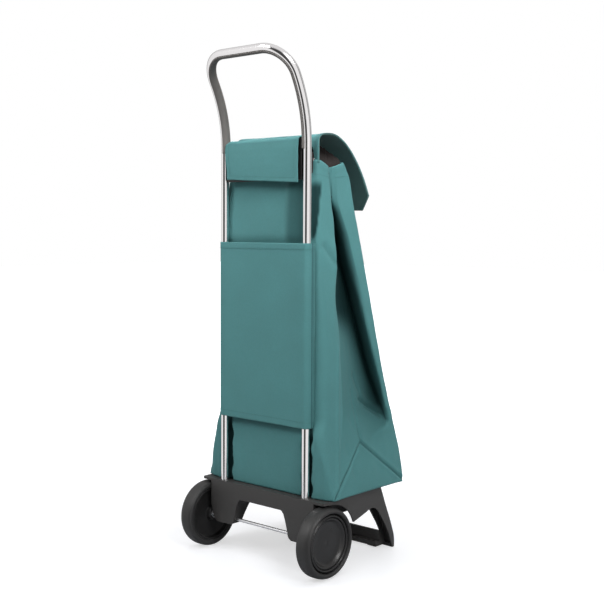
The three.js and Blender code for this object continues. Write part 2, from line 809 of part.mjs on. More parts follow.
// Fabric cover over the crosspiece, hanging down behind it as a plain patch
function crosspieceCover() {
  const reach = 6;
  const topZ = CROSSPIECE_TOP - 4;
  const line = [[-9, TAIL_BOTTOM]];
  line.push([-9, 800]);
  for (let i = 0; i <= 6; i += 1) {
    const angle = Math.PI - (Math.PI * i) / 6;
    line.push([reach * 1.25 * Math.cos(angle), topZ + reach * Math.sin(angle)]);
  }
  line.push([7.5, 780]);
  const fabric = toSolid(extrudeX(bandShape(line, 0, FABRIC), -TAIL_HALF, TAIL_HALF));
  return cut(fabric, hangerHoles(2, 14));
}

// Lid flap: a curved sheet over the mouth that hangs clear of the bag's front
const flapLine = [
  [15, 840.5],
  [26, 842],
  [41, 843.2],
  [71, 845.8],
  [86, 845],
  [102, 840],
  [117, 831.8],
  [132.5, 820],
  [148.5, 804],
  [165, 783],
  [181.5, 758],
  [195, 730.4],
  [208, 699.6],
];

function flapSheet(depth) {
  const shape = bandShape(flapLine, -depth, -depth - FLAP_THICKNESS);
  const sheet = toSolid(extrudeX(shape, -FLAP_HALF, FLAP_HALF));
  const corners = SIDES.map(({ side }) => {
    const z = flapLine[flapLine.length - 1][1] - 6;
    const points = [
      [FLAP_HALF - FLAP_CHAMFER, z],
      [FLAP_HALF + 5, z],
      [FLAP_HALF + 5, z + FLAP_CHAMFER + 20],
    ];
    return extrudeY(polygon(sidePoints(points, side)), 120, 240);
  });
  return cut(sheet, corners);
}

// Assembly

addPiece('base_moulding', baseMoulding(), materials.base);
addPiece('handle_tube', handleTube(), materials.aluminium);
addPiece('handle_grip', handleGrip(), materials.grip);
addPiece('upper_crosspiece', crosspiece(), materials.crosspiece);
addPiece('axle_rod', cylinderX(AXLE_R, -AXLE_HALF, AXLE_HALF, 0, AXLE_Z), materials.steel);

for (const { side, label } of SIDES) {
  const x = side * TUBE_X;
  addPiece(`tube_plug_${label}`, tubePlug(side), materials.crosspiece);
  addPiece(`base_screw_${label}`, screwY(x, 11.3, 4, BASE_SCREW_Z), materials.steel);
  addPiece(`crosspiece_screw_${label}`, screwY(x, 12.7, 4, CROSSPIECE_SCREW_Z), materials.steel);
  addPiece(`axle_washer_${label}`, axleRing(side, 9, 140.4, 142.4), materials.steel);
  addPiece(`axle_push_nut_${label}`, axleRing(side, 8, 158.2, 159.4), materials.steel);
  addWheel(side, label);
}

addPiece('bag_body', bagBody(), materials.fabric);
addPiece('bag_board', bagBoard(), materials.board);
addPiece('bag_sleeve', bagSleeve(), materials.fabric);
addPiece('crosspiece_cover', crosspieceCover(), materials.fabric);
for (const { label, x, y } of BAG_SCREWS) {
  addPiece(`bag_screw_${label}`, bagScrew(x, y), materials.steel);
}
for (const { label, x } of HANGER_SCREWS) {
  addPiece(`hanger_screw_${label}`, screwY(x, BAG_BACK_TOP_Y + FABRIC + FIT_GAP, 0, HANGER_SCREW_Z), materials.steel);
}
addPiece('flap', flapSheet(0), materials.fabric);
addPiece('flap_lining', flapSheet(FLAP_THICKNESS + FIT_GAP), materials.lining);

const footprint = new THREE.Box3().setFromObject(trolley);
trolley.position.y = -(footprint.min.y + footprint.max.y) / 2;

export default trolley;
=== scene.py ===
"""Looks of the two-wheeled shopping trolley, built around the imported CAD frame.

Shapes are worked out in millimetres with the axle at Y = 0 and the ground at Z = 0, then moved
into the frame by piece(). Fabric parts are fine sheets with folds, hems and stitching.
"""

import math

import bpy
import numpy as np
from mathutils import Matrix, Vector, noise


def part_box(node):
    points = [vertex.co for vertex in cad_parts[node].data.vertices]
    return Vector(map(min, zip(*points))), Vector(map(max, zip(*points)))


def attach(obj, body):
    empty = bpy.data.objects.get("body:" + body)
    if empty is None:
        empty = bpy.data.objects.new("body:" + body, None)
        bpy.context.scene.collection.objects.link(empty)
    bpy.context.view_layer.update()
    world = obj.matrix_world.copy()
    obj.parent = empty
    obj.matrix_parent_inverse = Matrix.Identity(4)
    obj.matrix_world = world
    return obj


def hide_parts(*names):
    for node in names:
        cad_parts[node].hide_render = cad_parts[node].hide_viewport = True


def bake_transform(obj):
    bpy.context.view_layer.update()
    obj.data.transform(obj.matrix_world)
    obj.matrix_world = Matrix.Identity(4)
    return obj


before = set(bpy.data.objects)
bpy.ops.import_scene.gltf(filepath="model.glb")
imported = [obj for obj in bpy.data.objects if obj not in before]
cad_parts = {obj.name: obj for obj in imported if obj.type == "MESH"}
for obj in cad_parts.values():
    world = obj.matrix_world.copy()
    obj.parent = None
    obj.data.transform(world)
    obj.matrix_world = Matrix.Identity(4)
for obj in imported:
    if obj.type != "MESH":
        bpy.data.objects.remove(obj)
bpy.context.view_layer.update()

MM = 0.001


def centre(node):
    low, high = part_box(node)
    return (low + high) / 2


AXLE_Y = centre("axle_rod").y
AXLE_Z = centre("axle_rod").z / MM
TUBE_X = centre("tube_plug_right").x / MM
TUBE_FOOT_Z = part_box("handle_tube")[0].z / MM


# ---------------------------------------------------------------- mesh helpers


def grid_faces(rows, cols, closed=False, looped=False):
    """Quads of a grid; closed joins its last column to its first, looped its last row to its first."""
    faces = []
    for r in range(rows if looped else rows - 1):
        here, above = r * cols, (r + 1) % rows * cols
        for c in range(cols if closed else cols - 1):
            d = (c + 1) % cols
            faces.append((here + c, here + d, above + d, above + c))
    return faces


def flipped(faces):
    return [tuple(reversed(face)) for face in faces]


def piece(name, points, faces, materials, body, replaces=(), uv=None):
    """Makes a mesh object from millimetre points and rides it on a CAD body."""
    moved = np.asarray(points, float) * MM + np.array([0, AXLE_Y, 0])
    mesh = bpy.data.meshes.new(name)
    mesh.from_pydata(moved.tolist(), [], faces)
    mesh.validate()
    mesh.polygons.foreach_set("use_smooth", [True] * len(mesh.polygons))
    if uv is not None:
        layer = mesh.uv_layers.new(name="fabric")
        index = np.zeros(len(mesh.loops), int)
        mesh.loops.foreach_get("vertex_index", index)
        coords = np.asarray(uv, float)[index] * MM
        layer.data.foreach_set("uv", coords.ravel())
    for material in materials:
        mesh.materials.append(material)
    obj = bpy.data.objects.new(name, mesh)
    bpy.context.scene.collection.objects.link(obj)
    if body:
        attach(obj, body)
    if replaces:
        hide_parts(*replaces)
    return obj


def apply_modifiers(obj):
    """Turns the object's modifiers into its own mesh."""
    graph = bpy.context.evaluated_depsgraph_get()
    mesh = bpy.data.meshes.new_from_object(obj.evaluated_get(graph))
    obj.modifiers.clear()
    obj.data = mesh


def solidify(obj, thickness, inner=0):
    """Gives a sheet its cloth thickness in millimetres; inner picks the inside's material slot."""
    mod = obj.modifiers.new("thickness", "SOLIDIFY")
    mod.thickness = thickness * MM
    mod.offset = -1.0
    mod.use_even_offset = False
    mod.material_offset = inner
    mod.material_offset_rim = 0
    apply_modifiers(obj)


def sharp_by_angle(obj, degrees):
    obj.data.set_sharp_from_angle(angle=math.radians(degrees))


def set_painted_shade(obj, values):
    """Stores the painted shade of each point in a seam, groove or fold, which darkens the woven
    material's colour.
    """
    attribute = obj.data.attributes.new("painted_shade", "FLOAT", "POINT")
    attribute.data.foreach_set("value", values)


def smooth_step(a, b, x):
    t = np.clip((np.asarray(x, float) - a) / (b - a), 0, 1)
    return t * t * (3 - 2 * t)


def band(x, a, b, c, d):
    """Rises from 0 to 1 between a and b and falls back between c and d."""
    return smooth_step(a, b, x) * (1 - smooth_step(c, d, x))


def bell(x, middle, width):
    return np.exp(-(((np.asarray(x, float) - middle) / width) ** 2))


def curve_through(xs, ys, x):
    """Smooth curve through (xs, ys) without overshoot, read at x."""
    xs, ys, x = np.asarray(xs, float), np.asarray(ys, float), np.asarray(x, float)
    h = np.diff(xs)
    slope = np.diff(ys) / h
    m = np.zeros(len(xs))
    m[0], m[-1] = slope[0], slope[-1]
    for i in range(1, len(xs) - 1):
        if slope[i - 1] * slope[i] > 0:
            m[i] = 2 * slope[i - 1] * slope[i] / (slope[i - 1] + slope[i])
    i = np.clip(np.searchsorted(xs, x) - 1, 0, len(xs) - 2)
    t = np.clip((x - xs[i]) / h[i], 0, 1)
    a = ys[i] * (1 + 2 * t) * (1 - t) ** 2 + ys[i + 1] * t * t * (3 - 2 * t)
    return a + h[i] * (m[i] * t * (1 - t) ** 2 - m[i + 1] * t * t * (1 - t))


def run_along(line):
    """Distance covered along a polyline at each of its points."""
    steps = np.linalg.norm(np.diff(line, axis=0), axis=1)
    return np.concatenate([[0], np.cumsum(steps)])


def resample(line, count):
    """Points spaced evenly along a polyline."""
    line = np.asarray(line, float)
    run = run_along(line)
    wanted = np.linspace(0, run[-1], count)
    return np.stack([np.interp(wanted, run, line[:, k]) for k in range(line.shape[1])], axis=1)


def cut_corner(before, corner, after, reach):
    """Where a rounding that reaches this far from a corner starts and ends."""
    ends = []
    for other in (before, after):
        way = other - corner
        length = np.linalg.norm(way)
        ends.append(corner + way / length * min(reach, length * 0.45))
    return ends


def bend(start, corner, end, count, endpoint=False):
    """Points along the curve that rounds a corner."""
    shares = np.linspace(0, 1, count, endpoint=endpoint)
    return [start * (1 - t) ** 2 + corner * 2 * t * (1 - t) + end * t * t for t in shares]


def wrinkle(points, scale, seed):
    """Smooth noise from -1 to 1 at each point; scale gives its size along X, Y and Z in mm."""
    size = np.asarray(scale, float)
    return np.array([noise.noise(Vector((p / size + seed).tolist())) for p in points])


def sheet_normals(grid):
    """Unit normals of a (rows, columns, 3) grid, on the cloth's outer side."""
    across = np.gradient(grid, axis=1)
    along = np.gradient(grid, axis=0)
    n = np.cross(across, along)
    return n / np.maximum(np.linalg.norm(n, axis=2, keepdims=True), 1e-9)


def pushed(grid, normals, push):
    """The grid moved along its normals, by as many millimetres at each point as push says."""
    return grid + normals * push.reshape(*grid.shape[:2], 1)


# ---------------------------------------------------------------- materials


class Nodes:
    """Short way to fill a node tree; a plain value, a colour or another node feeds each input."""

    def __init__(self, tree):
        self.tree = tree

    def feed(self, socket, value):
        if isinstance(value, tuple):
            socket.default_value = (*value, 1) if len(socket.default_value) > len(value) else value
        elif isinstance(value, (int, float)):
            socket.default_value = value
        elif value is not None:
            self.tree.links.new(value, socket)

    def add(self, kind, **inputs):
        """New node; inputs are named as in Blender, with _ for a space."""
        node = self.tree.nodes.new(kind)
        for name, value in inputs.items():
            self.feed(node.inputs[name.replace("_", " ")], value)
        return node

    def math(self, operation, *values):
        node = self.add("ShaderNodeMath")
        node.operation = operation
        for socket, value in zip(node.inputs, values):
            self.feed(socket, value)
        return node.outputs[0]

    def noise(self, scale, detail=3.0, vector=None, rough=0.5):
        node = self.add("ShaderNodeTexNoise", Scale=scale, Detail=detail, Roughness=rough,
                        Vector=vector or self.object_vector())
        return node.outputs["Fac"]

    def object_vector(self):
        return self.add("ShaderNodeTexCoord").outputs["Object"]

    def mix(self, factor, a, b):
        node = self.add("ShaderNodeMix")
        node.data_type = "RGBA"
        for index, value in ((0, factor), (6, a), (7, b)):
            self.feed(node.inputs[index], value)
        return node.outputs[2]

    def ramp(self, value, low, high, out_low=0.0, out_high=1.0):
        node = self.add("ShaderNodeMapRange", Value=value, From_Min=low, From_Max=high,
                        To_Min=out_low, To_Max=out_high)
        return node.outputs["Result"]

    def bump(self, height, distance, strength=1.0, before=None):
        node = self.add("ShaderNodeBump", Height=height, Distance=distance, Strength=strength,
                        Normal=before)
        return node.outputs["Normal"]


class Surface(Nodes):
    """Node tree of one new material."""

    def __init__(self, name):
        self.material = bpy.data.materials.new(name)
        self.material.use_nodes = True
        super().__init__(self.material.node_tree)

    def finish(self, **inputs):
        """Feeds the material's own shader and gives back the material."""
        shader = self.tree.nodes["Principled BSDF"]
        for name, value in inputs.items():
            self.feed(shader.inputs[name.replace("_", " ")], value)
        return self.material


def shade(colour, factor):
    return tuple(c * factor for c in colour)


def woven(name, colour, thread=0.0007, relief=0.00012, sheen=0.06):
    """Plain weave of flat threads, worn and uneven in tone, with painted shade in its weave and in
    seams, grooves and folds; the weave follows the sheet's own UVs.
    """
    n = Surface(name)
    split = n.add("ShaderNodeSeparateXYZ", Vector=n.add("ShaderNodeUVMap").outputs["UV"])
    turns = math.pi / thread
    warp = n.math("SINE", n.math("MULTIPLY", split.outputs["X"], turns))
    weft = n.math("SINE", n.math("MULTIPLY", split.outputs["Y"], turns))
    over = n.math("GREATER_THAN", n.math("MULTIPLY", warp, weft), 0.0)
    warp_height = n.math("ABSOLUTE", warp)
    weft_height = n.math("ABSOLUTE", weft)
    keep = n.math("MULTIPLY", warp_height, over)
    other = n.math("MULTIPLY", weft_height, n.math("SUBTRACT", 1.0, over))
    height = n.math("ADD", keep, other)
    blotch = n.noise(9.0, 4.0)
    slub = n.noise(260.0, 2.0)
    dust = n.noise(45.0, 5.0, rough=0.65)
    tone = n.mix(n.ramp(blotch, 0.3, 0.7), shade(colour, 0.93), shade(colour, 1.06))
    tone = n.mix(n.ramp(slub, 0.35, 0.65, 0.0, 0.22), tone, shade(colour, 0.8))
    tone = n.mix(n.ramp(dust, 0.55, 0.85, 0.0, 0.12), tone, shade(colour, 1.35))
    # Painted shade between the threads, where the weave lies low.
    tone = n.mix(n.ramp(height, 0.0, 0.45, 0.35, 0.0), tone, shade(colour, 0.6))
    # Painted shade: the points' shade attribute darkens the cloth in seams, grooves, folds, the pleat
    # and under the lid, and takes away its sheen and specular there.
    painted_shade = n.add("ShaderNodeAttribute")
    painted_shade.attribute_name = "painted_shade"
    tone = n.mix(painted_shade.outputs["Fac"], tone, shade(colour, 0.06))
    rough = n.ramp(blotch, 0.2, 0.8, 0.62, 0.78)
    creases = n.bump(n.noise(22.0, 4.0, rough=0.55), 0.0011, 0.35)
    surface = n.bump(height, relief, 0.6, creases)
    unshaded_share = n.math("SUBTRACT", 1.0, painted_shade.outputs["Fac"])
    return n.finish(
        Base_Color=tone, Roughness=rough, Normal=surface, Sheen_Roughness=0.45,
        Sheen_Weight=n.math("MULTIPLY", unshaded_share, sheen),
        Specular_IOR_Level=n.math("MULTIPLY", unshaded_share, 0.22),
    )


def moulded(name, colour, roughness=0.5, grain=900.0, relief=0.00006, wear=1.3):
    """Injection-moulded plastic: fine grain, faint flow marks and slightly polished patches."""
    n = Surface(name)
    fine = n.noise(grain, 2.0)
    flow = n.noise(14.0, 3.0)
    scuff = n.noise(120.0, 6.0, rough=0.7)
    tone = n.mix(n.ramp(flow, 0.3, 0.7), shade(colour, 0.92), shade(colour, 1.08))
    tone = n.mix(n.ramp(scuff, 0.58, 0.8, 0.0, 0.3), tone, shade(colour, wear))
    rough = n.ramp(flow, 0.25, 0.75, roughness - 0.06, roughness + 0.08)
    surface = n.bump(fine, relief, 0.5, n.bump(flow, 0.0004, 0.25))
    return n.finish(Base_Color=tone, Roughness=rough, Normal=surface, Specular_IOR_Level=0.45)


def brushed(name, colour, roughness, along=(400.0, 400.0, 5.0)):
    """Drawn metal with fine lines along one axis and a few duller patches."""
    n = Surface(name)
    mapping = n.add("ShaderNodeMapping", Vector=n.object_vector(), Scale=along)
    lines = n.noise(3.0, 3.0, mapping.outputs["Vector"])
    patch = n.noise(18.0, 3.0)
    tone = n.mix(n.ramp(lines, 0.3, 0.7), shade(colour, 0.93), colour)
    rough = n.ramp(patch, 0.3, 0.7, roughness, roughness + 0.1)
    surface = n.bump(lines, 0.00002, 0.25)
    return n.finish(Base_Color=tone, Roughness=rough, Normal=surface, Metallic=1.0)


TEAL = (0.074, 0.222, 0.226)
MAT = {
    "fabric": woven("bag_fabric", TEAL),
    # Darker copy of the bag fabric for the lid's underside: painted shade under the lid.
    "shaded_underside": woven("flap_underside_painted_shade", (0.095, 0.19, 0.182), sheen=0.03),
    "lining": woven("dark_lining", (0.024, 0.0195, 0.0185), thread=0.0009, sheen=0.03),
    "thread": woven("stitching_thread", shade(TEAL, 0.62), thread=0.0003, relief=0.00005),
    "base": moulded("base_plastic", (0.036, 0.035, 0.034), 0.5),
    "rim": moulded("wheel_plastic", (0.012, 0.012, 0.012), 0.3, 1400.0, 0.00003),
    "tyre": moulded("tyre_rubber", (0.02, 0.02, 0.02), 0.5, 700.0, 0.00008, 1.6),
    "grip": moulded("grip_rubber", (0.112, 0.105, 0.099), 0.6, 1100.0, 0.00008, 1.2),
    "bush": moulded("bush_nylon", (0.6, 0.58, 0.52), 0.4),
    "crosspiece": moulded("crosspiece_plastic", (0.012, 0.011, 0.011), 0.42),
    "board": moulded("floor_board", (0.2, 0.2, 0.19), 0.6, 300.0, 0.0001),
    "aluminium": brushed("polished_aluminium", (0.86, 0.86, 0.87), 0.07),
    "steel": brushed("zinc_steel", (0.74, 0.75, 0.77), 0.2, (5.0, 400.0, 400.0)),
}


# ---------------------------------------------------------------- carried-over CAD nodes


def dress(node, material, bevel):
    """Keeps a CAD node, with rounded edges and a finished material."""
    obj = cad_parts[node]
    mesh = obj.data
    if "custom_normal" in mesh.attributes:
        mesh.attributes.remove(mesh.attributes["custom_normal"])
    mesh.polygons.foreach_set("use_smooth", [True] * len(mesh.polygons))
    mesh.materials.clear()
    mesh.materials.append(material)
    weld = obj.modifiers.new("weld", "WELD")
    weld.merge_threshold = 0.00001
    rounding = obj.modifiers.new("bevel", "BEVEL")
    rounding.width = bevel * MM
    rounding.segments = 2
    rounding.limit_method = "ANGLE"
    rounding.angle_limit = math.radians(32)
    rounding.use_clamp_overlap = True
    normals = obj.modifiers.new("normals", "WEIGHTED_NORMAL")
    normals.keep_sharp = False
    normals.weight = 60


dress("base_moulding", MAT["base"], 0.7)
dress("upper_crosspiece", MAT["crosspiece"], 0.5)
dress("axle_rod", MAT["steel"], 0.4)
dress("bag_board", MAT["board"], 0.4)
for side in ("left", "right"):
    dress(f"tube_plug_{side}", MAT["crosspiece"], 0.3)
    dress(f"base_screw_{side}", MAT["steel"], 0.2)
    dress(f"crosspiece_screw_{side}", MAT["steel"], 0.2)
    dress(f"axle_washer_{side}", MAT["steel"], 0.2)
    dress(f"axle_push_nut_{side}", MAT["steel"], 0.2)
    dress(f"{side}_bush", MAT["bush"], 0.2)
for place in ("rear_left", "rear_right", "front_left", "front_right"):
    dress(f"bag_screw_{place}", MAT["steel"], 0.2)
for place in ("left", "middle", "right"):
    dress(f"hanger_screw_{place}", MAT["steel"], 0.2)


# ---------------------------------------------------------------- handle

TUBE_R = 8.0
TUBE_WALL = 1.5
# The tube is straight up to LEAN_START and then leans back on an arc; TOP_RUN is the length from
# the ground to the handle's top along it
LEAN_START = 821.0
LEAN_R = 266.0
TOP_RUN = 1012.3
CORNER_R = 59.2
GRIP_END = 811.0
GRIP_THICKNESS = 2.8
GRIP_GAP = 0.3
GRIP_REACH = math.radians(78)
# Distance from the grip's end and share of its thickness, where it rounds off
GRIP_END_ROUNDING = ((0.0, 0.55), (0.8, 0.85), (2.0, 1.0))


def handle_stations(foot):
    """Points, tangents and inward directions along the whole handle, from foot to foot."""
    corner = TOP_RUN - CORNER_R
    runs = [(-TUBE_X, r, 0.0, 1.0) for r in np.linspace(foot, LEAN_START, 12)[:-1]]
    runs += [(-TUBE_X, r, 0.0, 1.0) for r in np.linspace(LEAN_START, corner, 20)[:-1]]
    for a in np.linspace(0, math.pi / 2, 22):
        x = -TUBE_X + CORNER_R * (1 - math.cos(a))
        runs.append((x, corner + CORNER_R * math.sin(a), math.sin(a), math.cos(a)))
    runs += [(-x, r, dx, -dr) for x, r, dx, dr in reversed(runs)]
    stations = []
    for x, run, dx, dr in runs:
        a = max(0.0, run - LEAN_START) / LEAN_R
        up = np.array([0.0, -math.sin(a), math.cos(a)])
        side = np.array([1.0, 0.0, 0.0])
        point = [x, -LEAN_R * (1 - math.cos(a)), min(run, LEAN_START) + LEAN_R * math.sin(a)]
        stations.append((np.array(point), up * dr + side * dx, side * dr - up * dx))
    return stations


def sweep(stations, ring):
    """Rings of points: ring gives (inward, sideways) offsets, or a list of them, one per station."""
    rows = []
    for i, (point, tangent, inward) in enumerate(stations):
        across = np.cross(tangent, inward)
        offsets = ring[i] if isinstance(ring, list) else ring
        rows.append([point + inward * u + across * v for u, v in offsets])
    return np.array(rows)


def circle(radius, count=40):
    angles = np.linspace(0, 2 * math.pi, count, endpoint=False)
    return np.stack([radius * np.cos(angles), radius * np.sin(angles)], axis=1)


def handle_tube():
    stations = handle_stations(TUBE_FOOT_Z)
    outer = sweep(stations, circle(TUBE_R))
    inner = sweep(stations, circle(TUBE_R - TUBE_WALL))
    rows = np.concatenate([outer, inner[::-1]])
    faces = grid_faces(*rows.shape[:2], closed=True, looped=True)
    tube = piece("handle_tube_fine", rows.reshape(-1, 3), faces, [MAT["aluminium"]], "chassis",
                 ["handle_tube"])
    sharp_by_angle(tube, 40)


def grip_ring(thickness):
    """Section of the grip strip: hugs the inner half of the tube, with rounded long edges."""
    angles = np.linspace(-GRIP_REACH, GRIP_REACH, 25)
    inner = np.full(25, TUBE_R + GRIP_GAP)
    outer = inner + thickness * (1 - np.abs(angles / GRIP_REACH) ** 10 * 0.45)
    radius = np.concatenate([outer, inner])
    turn = np.concatenate([angles, angles[::-1]])
    return np.stack([radius * np.cos(turn), radius * np.sin(turn)], axis=1)


def handle_grip():
    stations = handle_stations(GRIP_END)
    point, tangent, inward = stations[0]
    mirror = np.array([-1, 1, 1])
    first = [(point + tangent * s, tangent, inward) for s, _ in GRIP_END_ROUNDING]
    last = [(p * mirror, -t * mirror, i * mirror) for p, t, i in reversed(first)]
    ends = [grip_ring(GRIP_THICKNESS * share) for _, share in GRIP_END_ROUNDING]
    rings = ends + [grip_ring(GRIP_THICKNESS)] * (len(stations) - 2) + ends[::-1]
    rows = sweep(first + stations[1:-1] + last, rings)
    count, cols = rows.shape[:2]
    faces = grid_faces(count, cols, closed=True)
    faces.append(tuple(reversed(range(cols))))
    faces.append(tuple((count - 1) * cols + c for c in range(cols)))
    grip = piece("handle_grip_fine", rows.reshape(-1, 3), faces, [MAT["grip"]], "chassis",
                 ["handle_grip"])
    sharp_by_angle(grip, 50)


# ---------------------------------------------------------------- wheels


def rounded(profile, reach, count=4):
    """Closed (radius, x) profile with each corner replaced by a short curve."""
    profile = np.array(profile, float)
    points = []
    for i, corner in enumerate(profile):
        start, end = cut_corner(profile[i - 1], corner, profile[(i + 1) % len(profile)], reach)
        points += bend(start, corner, end, count, endpoint=True)
    return np.array(points)


def wheel_part(label, side, part, profile, segments, slot):
    """Ring turned about the axle from a closed (radius, x) profile; x grows outwards."""
    r, x = profile.T
    rows = []
    for k in range(segments):
        a = 2 * math.pi * k / segments
        ring = [side * (WHEEL_X + x), r * math.cos(a), AXLE_Z + r * math.sin(a)]
        rows.append(np.stack(ring, axis=1))
    faces = grid_faces(segments, len(profile), closed=True, looped=True)
    if side < 0:
        faces = flipped(faces)
    obj = piece(f"{label}_{part}_fine", np.concatenate(rows), faces, [MAT[slot]],
                f"{label}_wheel", [f"{label}_{part}"])
    sharp_by_angle(obj, 42)


# Inner side of each wheel, and its parts' sections as (radius, distance from that side)
WHEEL_X = 143.0
TYRE = [
    (55.9, 1.5), (60, 0), (64, 0.7), (66.6, 2.6), (67.7, 6), (68, 11), (68, 16), (67.9, 21),
    (67.2, 25), (65.6, 29.2), (63.4, 32), (61, 33), (58.8, 32.0), (57.2, 29.6), (56.2, 26),
    (55.9, 21),
]
RIM = [
    (5.9, 0), (13, 0), (15, 9), (49, 9), (51.5, 1.8), (55.6, 1.8), (55.6, 22), (55.2, 25.4),
    (54.1, 28.4), (52.6, 29.6), (51.1, 29.3), (50.0, 27.8), (49.3, 25), (49.3, 19), (46, 17.5),
    (46, 13), (14, 13), (13, 14.5), (5.9, 14.5),
]
CAP = [
    (0.01, 19.4), (30, 19.4), (40, 19.6), (44, 20.4), (47, 22), (48.9, 24), (48.9, 26.2),
    (48.3, 27.2), (47.2, 27.5), (45.8, 27.0), (44.2, 25.6), (42.4, 23.6), (40.4, 22.0),
    (37.5, 21.1), (30, 20.9), (20, 21.1), (10, 21.3), (0.01, 21.4),
]


def wheels():
    for label, side in (("left", -1), ("right", 1)):
        wheel_part(label, side, "tyre", rounded(TYRE, 1.2), 112, "tyre")
        wheel_part(label, side, "rim", rounded(RIM, 0.7), 112, "rim")
        wheel_part(label, side, "hub_cap", rounded(CAP, 0.5, 3), 96, "rim")


# ---------------------------------------------------------------- bag shell

# Right half of the bag's outline at each height: height, half width, back panel, rear ridge,
# depth of the side pleat, its valley, the front strip's edge, front panel
BAG = np.array([
    # z     half   back  ridge  fold  valley strip  front
    [146.0, 171.5, 12.3, 22.0, 0.0, 118.0, 200.0, 235.5],
    [178.0, 163.0, 12.3, 30.0, 0.6, 119.0, 212.0, 241.0],
    [207.0, 157.0, 12.3, 38.0, 1.5, 122.0, 220.0, 242.5],
    [241.0, 150.8, 12.3, 47.0, 4.0, 150.0, 221.0, 238.5],
    [275.0, 147.0, 12.3, 56.0, 15.0, 214.0, 214.0, 231.0],
    [318.0, 143.5, 12.6, 61.0, 29.0, 211.0, 203.5, 221.5],
    [374.0, 140.5, 12.8, 61.0, 40.0, 196.0, 185.0, 206.0],
    [440.0, 137.0, 13.0, 61.0, 43.0, 176.0, 163.0, 189.5],
    [521.0, 131.8, 13.4, 57.0, 46.0, 152.0, 139.0, 172.5],
    [591.0, 128.0, 13.8, 66.0, 46.0, 126.0, 114.5, 157.0],
    [650.0, 124.6, 14.2, 64.0, 42.0, 107.0, 96.0, 144.5],
    [690.0, 122.3, 15.5, 62.0, 27.0, 84.0, 79.0, 134.8],
    [722.0, 120.4, 17.6, 58.0, 9.0, 62.0, 68.0, 128.5],
    [760.0, 118.8, 19.4, 52.0, 4.5, 59.0, 68.0, 120.5],
    [792.0, 117.8, 20.4, 48.0, 4.0, 58.0, 70.0, 100.8],
])
BAG_FABRIC = 1.3
BAG_BOTTOM = 146.0
BAG_FLOOR = 146.4
MOUTH_Z = 792.0
# Rows of cloth lie closest together over the creased bottom corners
BAG_HEIGHTS = np.concatenate([
    np.linspace(BAG_BOTTOM, 330, 82)[:-1],
    np.linspace(330, 590, 52)[:-1],
    np.linspace(590, MOUTH_Z, 52),
])
# Points along each stretch of the half outline, and round each of its corners
SEGMENT_STEPS = (48, 12, 56, 26, 9, 16)
CORNER_STEPS = 6
# The sides dip in a V at the mouth, deepest at DIP_Y, and bow up along the bottom edge
MOUTH_DIP = 13.5
DIP_Y = 58.0
SIDE_BOW = 3.4
# Beside the left tube the cloth tucks in at the mouth and bulges out below it
LEFT_TUCK = 5.0
LEFT_BULGE = 6.5


def bag_corner_reach(z):
    """How far each corner's rounding reaches: back corner, ridge, valley, strip edge, front corner."""
    low = smooth_step(180, 320, z)
    high = smooth_step(440, 600, z)
    shut = smooth_step(660, 720, z)
    return (
        6 + 20 * low * (1 - 0.6 * high),
        5 + 4 * low - 5 * high + 8 * shut,
        4 + 5 * low + 4 * shut,
        5 + 3 * low + 9 * high * (1 - shut) + 6 * shut,
        4 + 3 * low,
    )


def half_section(z):
    """Right half of the bag's outline at height z, from the back's middle to the front's middle."""
    half, back, ridge, fold, valley, strip, front = (
        float(curve_through(BAG[:, 0], BAG[:, k], z)) for k in range(1, 8)
    )
    corners = np.array([
        (0.0, back), (half - 0.5, back), (half + 0.8, ridge), (half - fold, valley),
        (half + 0.5, strip), (half - 1.0, front), (0.0, front + 1.5),
    ])
    points, starts, ends = [], [corners[0]], []
    reaches = bag_corner_reach(z)
    for i in range(1, 6):
        end, start = cut_corner(corners[i - 1], corners[i], corners[i + 1], reaches[i - 1])
        ends.append(end)
        starts.append(start)
    ends.append(corners[-1])
    for i, steps in enumerate(SEGMENT_STEPS):
        for t in np.linspace(0, 1, steps, endpoint=False):
            points.append(starts[i] * (1 - t) + ends[i] * t)
        if i < 5:
            points += bend(ends[i], corners[i + 1], starts[i + 1], CORNER_STEPS)
    points.append(corners[-1])
    return np.array(points)


def full_section(z):
    right = half_section(z)
    left = right[1:-1][::-1] * np.array([-1, 1])
    return np.concatenate([right, left])


# Creases of the side panel: from (y, z), to (y, z), depth, width, painted shade in the crease; ridges
# are negative
CREASES = [
    ((120, 241), (16, 148), 2.6, 2.4, 0.5),
    ((120, 241), (238, 147), 3.2, 2.6, 0.65),
    ((111, 346), (120, 241), 2.2, 3.0, 0.35),
    ((141, 322), (207, 283), 5.0, 5.0, 0.55),
    ((128, 372), (150, 318), 2.4, 5.0, 0.2),
    ((96, 292), (112, 262), 1.2, 6.0, 0.0),
    ((72, 240), (88, 180), 1.0, 6.0, 0.0),
    ((60, 628), (66, 590), -1.8, 7.0, 0.0),
    ((34, 628), (64, 596), 2.2, 6.0, 0.15),
    ((61, 430), (49, 241), -2.4, 5.0, 0.0),
    ((49, 241), (30, 168), -2.0, 5.0, 0.0),
]


def along_line(y, z, start, end):
    """Distance to a line segment in the side view."""
    a, b = np.array(start, float), np.array(end, float)
    d = b - a
    t = np.clip(((y - a[0]) * d[0] + (z - a[1]) * d[1]) / d.dot(d), 0, 1)
    return np.hypot(y - (a[0] + t * d[0]), z - (a[1] + t * d[1]))


